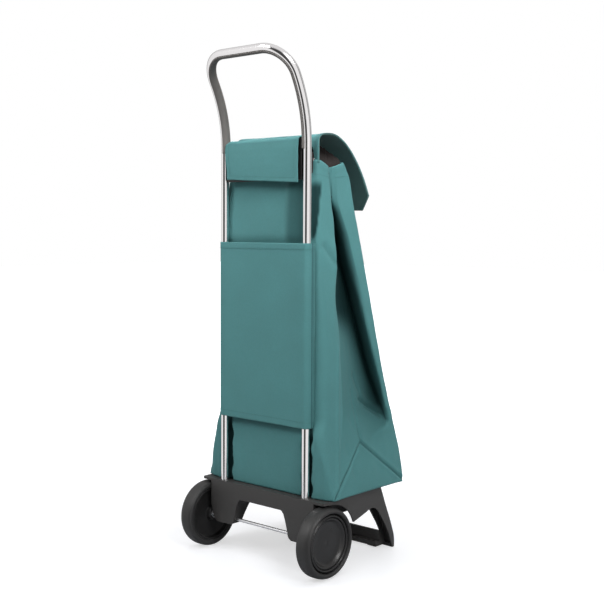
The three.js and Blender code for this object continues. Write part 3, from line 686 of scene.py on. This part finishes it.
def side_creases(y, z):
    """Outward movement of the side panel, and the painted shade inside its creases."""
    groove, shoulder, ridge, dark = np.zeros((4, len(y)))
    for start, end, depth, width, darkness in CREASES:
        distance = along_line(y, z, start, end)
        near = bell(distance, 0, width)
        dark = np.maximum(dark, darkness * bell(distance, 0, 0.55 * width))
        if depth < 0:
            ridge = np.maximum(ridge, -depth * near)
            continue
        groove = np.maximum(groove, depth * near)
        beside = bell(distance, 2.6 * width, 1.6 * width)
        shoulder = np.maximum(shoulder, 0.35 * depth * beside)
    out = shoulder - groove + ridge
    out += 3.2 * bell(y, 118, 46) * bell(z, 182, 30)
    out -= 5.0 * bell(y, 182, 24) * bell(z, 318, 20)
    out += 3.0 * bell(y, 190, 22) * bell(z, 262, 16)
    return out, dark


# Heights between which the back panel is free: below the sleeve, and between sleeve and cover
OPEN_LOW = (255, 300)
OPEN_HIGH = (615, 650, 742, 775)
# How far the free cloth swells rearward between the tubes and outside them
MIDDLE_SWELL = 6.5
OUTER_SWELL = 7.5
FOLD_DEPTH = 1.5


def back_zones(x, z):
    """Shares of the back panel that swell between the tubes and outside them, above and below."""
    reach = np.abs(x)
    open_low = 1 - smooth_step(*OPEN_LOW, z)
    open_high = band(z, *OPEN_HIGH)
    wave = (1.6 * np.sin(z / 8.0) + 1.0 * np.sin(z / 5.1 + 1.0)) * open_low
    inner = 104 - 11 * open_low
    middle = 1 - smooth_step(inner + wave, inner + 7 + wave, reach)
    outer = smooth_step(117 + wave, 123 + wave, reach)
    return middle, outer, open_low, open_high


def back_relief(x, z):
    """Rearward movement of the back panel: it swells beside the tubes and hugs them."""
    middle, outer, open_low, open_high = back_zones(x, z)
    reach = np.abs(x)
    push = MIDDLE_SWELL * middle * (open_low + open_high)
    push = push + outer * (1 - smooth_step(138, 164, reach)) * OUTER_SWELL * open_low
    folds = FOLD_DEPTH * np.sin((reach - 120) / 4.4) * smooth_step(126, 132, reach) * open_low
    push = push + folds * smooth_step(300, 170, z)
    return push + 3.5 * band(x, 40, 60, 66, 92) * open_high


def back_shade(x, z):
    """Painted shade in the grooves beside the tubes and in the soft folds of the back panel."""
    middle, outer, open_low, open_high = back_zones(x, z)
    groove = (1 - middle) * (1 - outer)
    dark = 0.9 * groove * (open_low + open_high * (x < 0))
    fold = 0.5 * band(x, 40, 66, 98, 110) * open_high
    return np.clip(dark + fold, 0, 0.95)


def corner_shade(x, y, z):
    """Painted shade in the recess between each tube and the bag's upper back corner."""
    edge = 12 + 20 * np.clip((z - 622) / 122, 0, 1)
    recess = smooth_step(98, 107, np.abs(x)) * (1 - smooth_step(edge - 2, edge, y))
    return 0.86 * recess * band(z, 590, 650, 738, 756)


def row_levels(x, y, facing, z):
    """Heights of one row's points: level all round but for the sides' dip and bow."""
    away = np.where(y < DIP_Y, (DIP_Y - y) / 31, (y - DIP_Y) / 46)
    dip = MOUTH_DIP * np.clip(1 - away, 0, 1) * (np.abs(x) > 90)
    bow = SIDE_BOW * np.clip(np.sin(np.pi * (y - 12) / 224), 0, 1) * facing**2
    return z - smooth_step(740, MOUTH_Z, z) * dip + bow * (1 - smooth_step(BAG_BOTTOM, 200, z))


def bag_grid():
    """Points of the bag's outside from the bottom edge to the mouth, and the painted shade of each."""
    rows, shades = [], []
    for z in BAG_HEIGHTS:
        flat = full_section(z)
        x, y = flat.T
        tangent = np.roll(flat, -1, axis=0) - np.roll(flat, 1, axis=0)
        normal = np.stack([tangent[:, 1], -tangent[:, 0]], axis=1)
        normal /= np.linalg.norm(normal, axis=1, keepdims=True)
        facing = np.abs(normal[:, 0])
        level = row_levels(x, y, facing, z)
        points = np.stack([x, y, level], axis=1)
        sideways = facing**1.5 * (np.abs(x) > 85)
        rearward = np.clip(-normal[:, 1], 0, 1) ** 2 * (y < 40)
        relief, crease_shade = side_creases(y, level)
        recess = corner_shade(x, y, level)
        push = relief * sideways * smooth_step(140, 160, z)
        push += back_relief(x, level) * rearward
        # The corner's painted shade also pushes the cloth in, on the right side only.
        push -= 3.0 * recess * (x > 0)
        firm = smooth_step(BAG_BOTTOM, 175, z) * (1 - 0.6 * smooth_step(770, MOUTH_Z, z))
        push += 1.3 * wrinkle(points, (46, 46, 150), 3.7) * firm
        push += 0.5 * wrinkle(points, (17, 17, 36), 9.1) * firm
        push += 0.7 * smooth_step(MOUTH_Z - 15.5, MOUTH_Z - 14, z)
        points[:, :2] += normal * push[:, None]
        near_left = smooth_step(-60, -112, x)
        points[:, 0] += near_left * LEFT_TUCK * smooth_step(758, 772, z)
        points[:, 0] -= near_left * LEFT_BULGE * band(z, 610, 650, 752, 766)
        rows.append(points)
        dark = (back_shade(x, level) * rearward, crease_shade * sideways, recess)
        shades.append(np.maximum.reduce(dark))
    return np.array(rows), np.array(shades)


def pleat_painted_shade():
    """Painted shade of the side pleat at each point, from 0 to 1, row by row: darker the deeper a point
    lies in the pleat.
    """
    wall = SEGMENT_STEPS[0] + SEGMENT_STEPS[1] + 2 * CORNER_STEPS
    valley = wall + SEGMENT_STEPS[2] + CORNER_STEPS // 2
    lip = valley + SEGMENT_STEPS[3] + CORNER_STEPS + 2
    column = np.arange(sum(SEGMENT_STEPS) + 5 * CORNER_STEPS + 1, dtype=float)
    rising = np.clip((column - wall) / (valley - wall), 0, 1) * (column <= valley)
    falling = np.clip((lip - column) / (lip - valley), 0, 1) * (column > valley)
    rows = []
    for z in BAG_HEIGHTS:
        deep = np.clip(curve_through(BAG[:, 0], BAG[:, 4], z) / 25, 0, 1)
        power = 2.0 - 1.9 * smooth_step(395, 505, z)
        spread = 0.8 - 0.58 * smooth_step(480, 600, z)
        base = 0.25 + 0.4 * smooth_step(450, 530, z)
        rear = (base + (1 - base) * rising**power) * (rising > 0)
        right = deep * np.maximum(rear, falling**spread)
        rows.append(np.concatenate([right, right[1:-1][::-1]]))
    return np.array(rows)


def bag_shell():
    """The bag's outer cloth, with its floor; gives back the points of its outside."""
    grid, shades = bag_grid()
    middle = grid[0].mean(axis=0)
    bottom = middle + (grid[0] - middle) * np.array([0.3, 0.6, 0.9, 0.985])[:, None, None]
    bottom[:, :, 2] = BAG_FLOOR
    rows = np.concatenate([bottom, grid])
    count, cols = rows.shape[:2]
    faces = grid_faces(count, cols, closed=True)
    faces.append(tuple(reversed(range(cols))))
    run = run_along(np.vstack([grid[40], grid[40][:1]]))[:-1]
    side_uv = np.stack([np.broadcast_to(run, shades.shape), grid[:, :, 2]], axis=2)
    uv = np.concatenate([bottom[:, :, :2], side_uv]).reshape(-1, 2)
    shell = piece("bag_shell", rows.reshape(-1, 3), faces, [MAT["fabric"], MAT["lining"]],
                  "chassis", ["bag_body"], uv)
    # Painted shade of the pleat, creases, grooves and back corner recesses, kept as a point attribute
    # that darkens the cloth.
    painted_shade = np.zeros((count, cols))
    painted_shade[len(bottom):] = np.maximum(pleat_painted_shade() * 0.98, shades)
    set_painted_shade(shell, painted_shade.ravel())
    solidify(shell, BAG_FABRIC, inner=1)
    return grid


# The collar's gathered hole, and its top edge's height at the back and fall towards the front
COLLAR_HOLE = (24, 15)
COLLAR_TOP = 818.0
COLLAR_FALL = 22.0
COLLAR_GAP = 3.2


def mouth_collar(grid):
    """Gathered inner collar of dark lining that closes the mouth under the lid."""
    mouth = np.column_stack([grid[-1][:, :2], grid[-10][:, 2]])
    loop = resample(np.vstack([mouth, mouth[:1]]), 361)[:-1]
    middle = loop.mean(axis=0)
    middle[1] += 4
    outward = loop - middle
    outward[:, 2] = 0
    loop = loop - outward / np.linalg.norm(outward, axis=1, keepdims=True) * COLLAR_GAP
    angle = np.linspace(0, 2 * math.pi, len(loop), endpoint=False)
    hole = np.stack([COLLAR_HOLE[0] * np.cos(angle), COLLAR_HOLE[1] * np.sin(angle), 0 * angle], axis=1)
    gather = 0.5 * np.sin(31 * angle + 2.2 * np.sin(3 * angle)) + 0.5 * np.sin(47 * angle + 1.3)
    rows = []
    for t in np.linspace(0, 1, 34) ** 1.3:
        ring = middle + (loop - middle) * (1 - 0.72 * t**1.25)
        ring = ring + (middle + hole - ring) * smooth_step(0.35, 1, t)
        crest = COLLAR_TOP - COLLAR_FALL * smooth_step(36, 104, ring[:, 1])
        climb = smooth_step(0, 0.12, t) ** 0.8
        ring[:, 2] = loop[:, 2] * (1 - climb) + crest * climb - 14 * smooth_step(0.35, 1, t)
        ring[:, 2] += gather * 3.4 * t**0.5
        rows.append(ring)
    rows = np.array(rows)
    count, cols = rows.shape[:2]
    uv = [(c * 1.9, r * 3.0) for r in range(count) for c in range(cols)]
    collar = piece("mouth_collar", rows.reshape(-1, 3), grid_faces(count, cols, closed=True),
                   [MAT["lining"]], "chassis", (), uv)
    # Painted shade under the lid: the collar darkens towards its crest.
    set_painted_shade(collar, 0.9 * smooth_step(787, 808, rows[:, :, 2]).ravel())
    solidify(collar, 0.8)


# ---------------------------------------------------------------- stitching


THREAD_R = 0.32
# Share of a stitch's length and of its thickness there
STITCH_SECTIONS = ((0.0, 0.55), (0.15, 1.0), (0.5, 1.0), (0.85, 1.0), (1.0, 0.55))


def stitches(name, lines, body, length=3.0, gap=1.3, radius=THREAD_R):
    """Rows of real thread stitches; each line is (points, outward normals) in millimetres."""
    points, faces = [], []
    sides = 6
    ring = np.linspace(0, 2 * math.pi, sides, endpoint=False)
    for line, normals in lines:
        run = run_along(line)
        place = gap
        while place + length < run[-1]:
            ends = []
            for share, _ in STITCH_SECTIONS:
                s = place + share * length
                p, n = (np.array([np.interp(s, run, along[:, k]) for k in range(3)])
                        for along in (line, normals))
                ends.append((p, n / np.linalg.norm(n)))
            way = ends[-1][0] - ends[0][0]
            way /= np.linalg.norm(way)
            first = len(points)
            for (p, n), (share, width) in zip(ends, STITCH_SECTIONS):
                lift = (0.1 + 0.35 * math.sin(math.pi * share)) * radius / THREAD_R
                thick = radius * width
                across = np.cross(way, n)
                for a in ring:
                    points.append(p + n * (lift + thick * math.sin(a)) + across * thick * math.cos(a))
            last = len(points) - sides
            rows = len(STITCH_SECTIONS)
            faces += [tuple(first + k for k in f) for f in grid_faces(rows, sides, closed=True)]
            faces.append(tuple(first + k for k in reversed(range(sides))))
            faces.append(tuple(last + k for k in range(sides)))
            place += length + gap
    uv = [(p[0] + p[1], p[2]) for p in points]
    return piece(name, points, faces, [MAT["thread"]], body, (), uv)


def mouth_stitching(grid):
    """Seam below the mouth's hem, all round the bag."""
    line = grid[-8]
    outward = line - line.mean(axis=0)
    outward[:, 2] = 0
    outward /= np.linalg.norm(outward, axis=1, keepdims=True)
    stitches("mouth_stitching", [(line + outward * 0.2, outward)], "chassis", 3.0, 1.4, 0.3)


# ---------------------------------------------------------------- fabric sheets


def sheet(name, grid, material, body, replaces, thickness, painted_shade=None):
    """Cloth sheet from a (rows, columns, 3) grid, thickened on its back side; optional shade values
    paint shade on its points.
    """
    count, cols = grid.shape[:2]
    across = np.linalg.norm(np.diff(grid, axis=1), axis=2)
    along = np.linalg.norm(np.diff(grid, axis=0), axis=2)
    u = np.concatenate([np.zeros((count, 1)), np.cumsum(across, axis=1)], axis=1)
    v = np.concatenate([np.zeros((1, cols)), np.cumsum(along, axis=0)], axis=0)
    uv = np.stack([u, v], axis=2).reshape(-1, 2)
    obj = piece(name, grid.reshape(-1, 3), grid_faces(count, cols), [material], body, replaces,
                uv)
    if painted_shade is not None:
        set_painted_shade(obj, painted_shade)
    solidify(obj, thickness)
    return obj


def hem_lift(distance, width, height):
    """Extra thickness of a folded hem at a distance from the edge."""
    return height * (1 - smooth_step(width - 1.2, width + 1.2, distance))


SLEEVE_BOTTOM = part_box("bag_sleeve")[0].z / MM
SLEEVE_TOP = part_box("bag_sleeve")[1].z / MM
SLEEVE_R = 9.3


def sleeve_outline():
    """Plan line of the sleeve: round the left tube, across the back, round the right tube."""
    right = [(TUBE_X + SLEEVE_R + 0.2, 12.2), (TUBE_X + SLEEVE_R + 0.1, 6.0)]
    for a in np.linspace(0, -math.pi / 2, 14):
        right.append((TUBE_X + SLEEVE_R * math.cos(a), SLEEVE_R * math.sin(a)))
    flat = [(x, -SLEEVE_R) for x in np.linspace(TUBE_X - 4, 0, 30)]
    half = np.array(right + flat)
    left = half[:-1][::-1] * np.array([-1, 1])
    return np.concatenate([half, left])[::-1]


def sleeve():
    """Rear panel that wraps round both tubes, with hems and sewn edges."""
    line = resample(sleeve_outline(), 190)
    heights = np.concatenate([
        np.linspace(SLEEVE_BOTTOM, SLEEVE_BOTTOM + 16, 9)[:-1],
        np.linspace(SLEEVE_BOTTOM + 16, SLEEVE_TOP - 16, 50)[:-1],
        np.linspace(SLEEVE_TOP - 16, SLEEVE_TOP, 9),
    ])
    grid = np.array([[(x, y, z) for x, y in line] for z in heights])
    normals = sheet_normals(grid)
    flat = grid.reshape(-1, 3)
    x, y, z = flat.T
    between = 1 - smooth_step(60, 108, np.abs(x))
    middle = np.clip(np.sin(np.pi * (z - SLEEVE_BOTTOM) / (SLEEVE_TOP - SLEEVE_BOTTOM)), 0, 1)
    push = -1.6 * between * (0.4 + 0.6 * middle)
    push = push + 0.7 * wrinkle(flat, (60, 60, 120), 5.3) * between
    push = push + 0.15 * wrinkle(flat, (16, 30, 22), 1.9) * (0.25 + 0.75 * between)
    push = push + hem_lift(z - SLEEVE_BOTTOM, 12, 0.35) + hem_lift(SLEEVE_TOP - z, 12, 0.35)
    edge = np.where(np.abs(x) > TUBE_X, np.minimum(12.4 - y, 40), 40)
    moved = pushed(grid, normals, push + hem_lift(edge, 7, 0.5))
    # Painted shade along the grooves at the hems of the sleeve's side edges.
    seam_shade = 0.6 * bell(edge, 7.2, 1.1) + 0.35 * bell(edge, 3.0, 0.9)
    sheet("sleeve_panel", moved, MAT["fabric"], "chassis", ["bag_sleeve"], 1.1, seam_shade)
    lines = [(moved[row], normals[row]) for row in (6, -7)]
    lines += [(moved[:, column], normals[:, column]) for column in (3, 6, -7, -4)]
    stitches("sleeve_stitching", lines, "chassis")


COVER_BOTTOM = 748.5
COVER_HALF = 95


def cover():
    """Cloth over the crosspiece whose tail hangs down behind it as a plain patch."""
    line = [(-9.0, COVER_BOTTOM), (-9.6, 760), (-10.2, 780), (-10.2, 800), (-9.6, 816)]
    for a in np.linspace(math.pi, 0, 16):
        line.append((8.4 * math.cos(a), 828.0 + 6.6 * math.sin(a)))
    line += [(8.4, 812), (8.2, 796), (8.0, 781)]
    profile = resample(line, 90)
    x = np.concatenate([
        np.linspace(-COVER_HALF, -83, 9)[:-1],
        np.linspace(-83, 83, 56)[:-1],
        np.linspace(83, COVER_HALF, 9),
    ])
    y, z = profile[:, :1], profile[:, 1:]
    low = smooth_step(820, 752, z) * (y < 0)
    rise = 10.0 * (COVER_HALF - x) / (2 * COVER_HALF) * low
    drop = 4.5 * smooth_step(-84, -99, x) * smooth_step(812, 834, z)
    stretch = 1 + 0.055 * smooth_step(-40, -95, x) * smooth_step(762, 815, z)
    grid = np.stack([x * stretch, y - 1.2 * low * bell(x, -30, 70), z + rise - drop], axis=2)
    normals = sheet_normals(grid)
    flat = grid.reshape(-1, 3)
    x, y, z = flat.T
    push = 0.5 * wrinkle(flat, (60, 50, 50), 2.2) + 0.12 * wrinkle(flat, (15, 15, 14), 6.4)
    edge = np.minimum(COVER_HALF - np.abs(x), np.where(y < 0, z - COVER_BOTTOM, 60))
    moved = pushed(grid, normals, push + hem_lift(edge, 7.5, 0.4))
    sheet("crosspiece_cover_cloth", moved, MAT["fabric"], "chassis", ["crosspiece_cover"],
          1.3)
    lines = [(moved[4:50, column], normals[4:50, column]) for column in (6, -7)]
    lines.append((moved[5, 6:-6], normals[5, 6:-6]))
    stitches("cover_stitching", lines, "chassis", 2.6, 1.2, 0.26)


# Side view of the lid: up the back panel, over the mouth and down over the front, as (y, z)
LID_LINE = [
    (23.5, 786), (23.6, 800), (23.6, 815), (23.4, 825), (24.2, 832.5), (28, 838), (34, 841),
    (42, 842.6), (56, 844.2), (71, 845.2), (86, 844.6), (102, 840.4), (117, 832.6), (132.5, 821),
    (148.5, 805), (165, 784), (181.5, 759), (195, 731.2), (208, 700),
]
LID_FRONT_HALF = 105.5
LID_BACK_HALF = 118.0
LID_LEFT_TUCK = 17.0
LID_CHAMFER = 25.0
LID_DROP = 31.0
LID_DROOP = 1.2
LID_LINING_DEPTH = 1.25


def lid_line():
    """The lid's side view as a smooth curve, evenly spaced, and its length."""
    line = np.array(LID_LINE, float)
    run = run_along(line)
    fine = np.linspace(0, run[-1], 400)
    smooth = np.stack([curve_through(run, line[:, k], fine) for k in range(2)], axis=1)
    for _ in range(30):
        smooth[1:-1] = smooth[1:-1] * 0.5 + (smooth[:-2] + smooth[2:]) * 0.25
    return resample(smooth, 110), run[-1]


def lid_grid(depth):
    """Lid sheet pushed in by a depth; its width narrows after the bend and its corners are cut."""
    line, length = lid_line()
    tangent = np.gradient(line, axis=0)
    tangent /= np.linalg.norm(tangent, axis=1, keepdims=True)
    s = np.linspace(0, length, len(line))[:, None]
    share = np.linspace(-1, 1, 75)
    narrow = smooth_step(60, 130, s)
    half = LID_BACK_HALF + (LID_FRONT_HALF - LID_BACK_HALF) * narrow
    left_half = half - LID_LEFT_TUCK * (1 - narrow)
    corner_cut = LID_CHAMFER * np.maximum(0, 1 - (length - s) / LID_DROP)
    x = share * (np.where(share > 0, half, left_half) - corner_cut)
    inward = depth + LID_DROOP * np.abs(share) ** 4 * smooth_step(70, 150, s)
    y = line[:, :1] + tangent[:, 1:] * inward
    z = line[:, 1:] - tangent[:, :1] * inward
    return np.stack([x, y, z], axis=2)


def lid_sheet(name, depth, material, node):
    """One layer of the lid; gives back its grid and normals."""
    grid = lid_grid(depth)
    normals = sheet_normals(grid)
    flat = grid.reshape(-1, 3)
    push = 1.1 * wrinkle(flat, (70, 60, 60), 4.4) + 0.3 * wrinkle(flat, (18, 18, 18), 8.8)
    if depth == 0:
        x = grid[:, :, 0]
        edge = np.minimum(np.abs(x - x[:, :1]), np.abs(x[:, -1:] - x))
        edge = np.minimum(edge, np.linspace(320, 0, len(grid))[:, None])
        push += hem_lift(edge.ravel(), 8, 0.6)
    moved = pushed(grid, normals, push)
    hinge(sheet(name, moved, material, None, [node], 1.0))
    return moved, normals


def lid():
    """Back panel's continuation and flap in one sheet, which bends at the hinge line."""
    top, normals = lid_sheet("lid_cloth", 0.0, MAT["fabric"], "flap")
    lines = [(top[30:-1, column], normals[30:-1, column]) for column in (4, 70)]
    lines.append((top[-4, 6:-6], normals[-4, 6:-6]))
    hinge(stitches("lid_stitching", lines, None, 3.0, 1.4, 0.3))
    # The underside layer takes the darker copy of the bag fabric, painted shade under the lid.
    lid_sheet("lid_underside", LID_LINING_DEPTH, MAT["shaded_underside"], "flap_lining")


def hinge(obj):
    """Bakes the sheet's placement into its mesh; the sheet rides on no body."""
    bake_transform(obj)


# ---------------------------------------------------------------- build

handle_tube()
handle_grip()
wheels()
bag = bag_shell()
mouth_collar(bag)
mouth_stitching(bag)
sleeve()
cover()
lid()


# ---------------------------------------------------------------- floor, light, camera


FLOOR_HALF = 14.0


def floor():
    """Pale floor that takes soft shadows near the object and runs out into plain white."""
    n = Surface("studio_floor")
    tone = n.mix(n.ramp(n.noise(2.0, 2.0), 0.3, 0.7), (0.49, 0.5, 0.525), (0.51, 0.52, 0.545))
    path = n.add("ShaderNodeLightPath")
    away = n.add("ShaderNodeVectorMath", Vector=n.add("ShaderNodeNewGeometry").outputs["Position"])
    away.operation = "LENGTH"
    distance = away.outputs["Value"]
    glow = n.math("ADD", 0.57, n.math("MULTIPLY", n.ramp(distance, 0.45, 1.3), 0.6))
    unseen = n.math("MULTIPLY", n.ramp(distance, 0.4, 0.9), path.outputs["Is Glossy Ray"])
    material = n.finish(
        Base_Color=tone, Roughness=0.32, Specular_IOR_Level=0.3, Emission_Color=(1, 1, 1),
        Emission_Strength=n.math("MULTIPLY", glow, path.outputs["Is Camera Ray"]),
        Alpha=n.math("SUBTRACT", 1.0, unseen),
    )
    mesh = bpy.data.meshes.new("floor")
    s = FLOOR_HALF
    corners = [(-s, -s, 0), (s, -s, 0), (s, s, 0), (-s, s, 0)]
    mesh.from_pydata(corners, [], [(0, 1, 2, 3)])
    mesh.materials.append(material)
    obj = bpy.data.objects.new("floor", mesh)
    bpy.context.scene.collection.objects.link(obj)


def area_light(name, place, target, size, power, spread=180):
    data = bpy.data.lights.new(name, "AREA")
    data.shape = "RECTANGLE"
    data.size, data.size_y = size
    data.energy = power
    data.spread = math.radians(spread)
    obj = bpy.data.objects.new(name, data)
    obj.location = place
    obj.rotation_euler = (Vector(target) - Vector(place)).to_track_quat("-Z", "Y").to_euler()
    bpy.context.scene.collection.objects.link(obj)
    return obj


# Bearing, downward pitch and roll of the photograph's camera
CAMERA_TURN = math.radians(41.55757)
CAMERA_PITCH = math.radians(3.98763)
CAMERA_ROLL = math.radians(0.32075)
CAMERA_PLACE = Vector((1.398297, -1.465844 + AXLE_Y, 0.658775))
CAMERA_LENS = 61.4913


def camera():
    data = bpy.data.cameras.new("camera")
    data.sensor_width = 36
    data.lens = CAMERA_LENS
    obj = bpy.data.objects.new("camera", data)
    turn = Matrix.Rotation(CAMERA_TURN, 4, "Z")
    tilt = Matrix.Rotation(math.pi / 2 - CAMERA_PITCH, 4, "X")
    roll = Matrix.Rotation(CAMERA_ROLL, 4, "Z")
    obj.matrix_world = Matrix.Translation(CAMERA_PLACE) @ turn @ tilt @ roll
    bpy.context.scene.collection.objects.link(obj)
    bpy.context.scene.camera = obj


# Light that matt surfaces get from the room, and what mirror-like ones see overhead
AMBIENT = (0.28, 0.28, 0.285)
OVERHEAD = (0.82, 0.8, 0.795)
# Brightness seen by reflections at each bearing from the camera, in degrees
REFLECTED_BANDS = (
    (-150, 0.45), (-120, 0.92), (-66, 1.0), (-54, 0.05), (-10, 0.07), (0, 1.0), (68, 0.95),
    (84, 0.3), (104, 0.3), (116, 0.95), (134, 0.35),
)


def studio_world():
    """White room; mirror-like surfaces see light and dark bands round the horizon."""
    world = bpy.data.worlds.new("studio")
    world.use_nodes = True
    bpy.context.scene.world = world
    n = Nodes(world.node_tree)
    turned = n.add("ShaderNodeMapping", Vector=n.add("ShaderNodeTexCoord").outputs["Generated"],
                   Rotation=(0, 0, -CAMERA_TURN))
    split = n.add("ShaderNodeSeparateXYZ", Vector=turned.outputs["Vector"])
    bearing = n.math("ARCTAN2", split.outputs["X"], n.math("MULTIPLY", split.outputs["Y"], -1))
    bands = n.add("ShaderNodeValToRGB", Fac=n.math("MULTIPLY_ADD", bearing, 0.5 / math.pi, 0.5))
    stops = bands.color_ramp.elements
    for end in stops:
        end.color = (0.3, 0.3, 0.3, 1)
    for degrees, value in REFLECTED_BANDS:
        stops.new(0.5 + degrees / 360).color = (value, value * 0.98, value * 0.97, 1)
    high = n.ramp(split.outputs["Z"], 0.35, 0.75)
    mirrored = n.mix(high, bands.outputs["Color"], OVERHEAD)
    path = n.add("ShaderNodeLightPath")
    lit = n.mix(path.outputs["Is Glossy Ray"], AMBIENT, mirrored)
    seen = n.mix(path.outputs["Is Camera Ray"], lit, (1, 1, 1))
    n.feed(n.tree.nodes["Background"].inputs["Color"], seen)


floor()
camera()
studio_world()
area_light("key", (1.75, -0.6, 1.85), (0, 0, 1.06), (1.0, 1.0), 9.3, 66)
area_light("fill", (-0.8, -1.9, 2.1), (0, 0, 1.02), (1.2, 1.0), 7.4, 76)
overhead_light = area_light("top", (0.1, 0.1, 2.3), (0, 0, 0.4), (1.8, 1.8), 32)
overhead_light.visible_glossy = False
bpy.context.scene.view_settings.view_transform = "Standard"
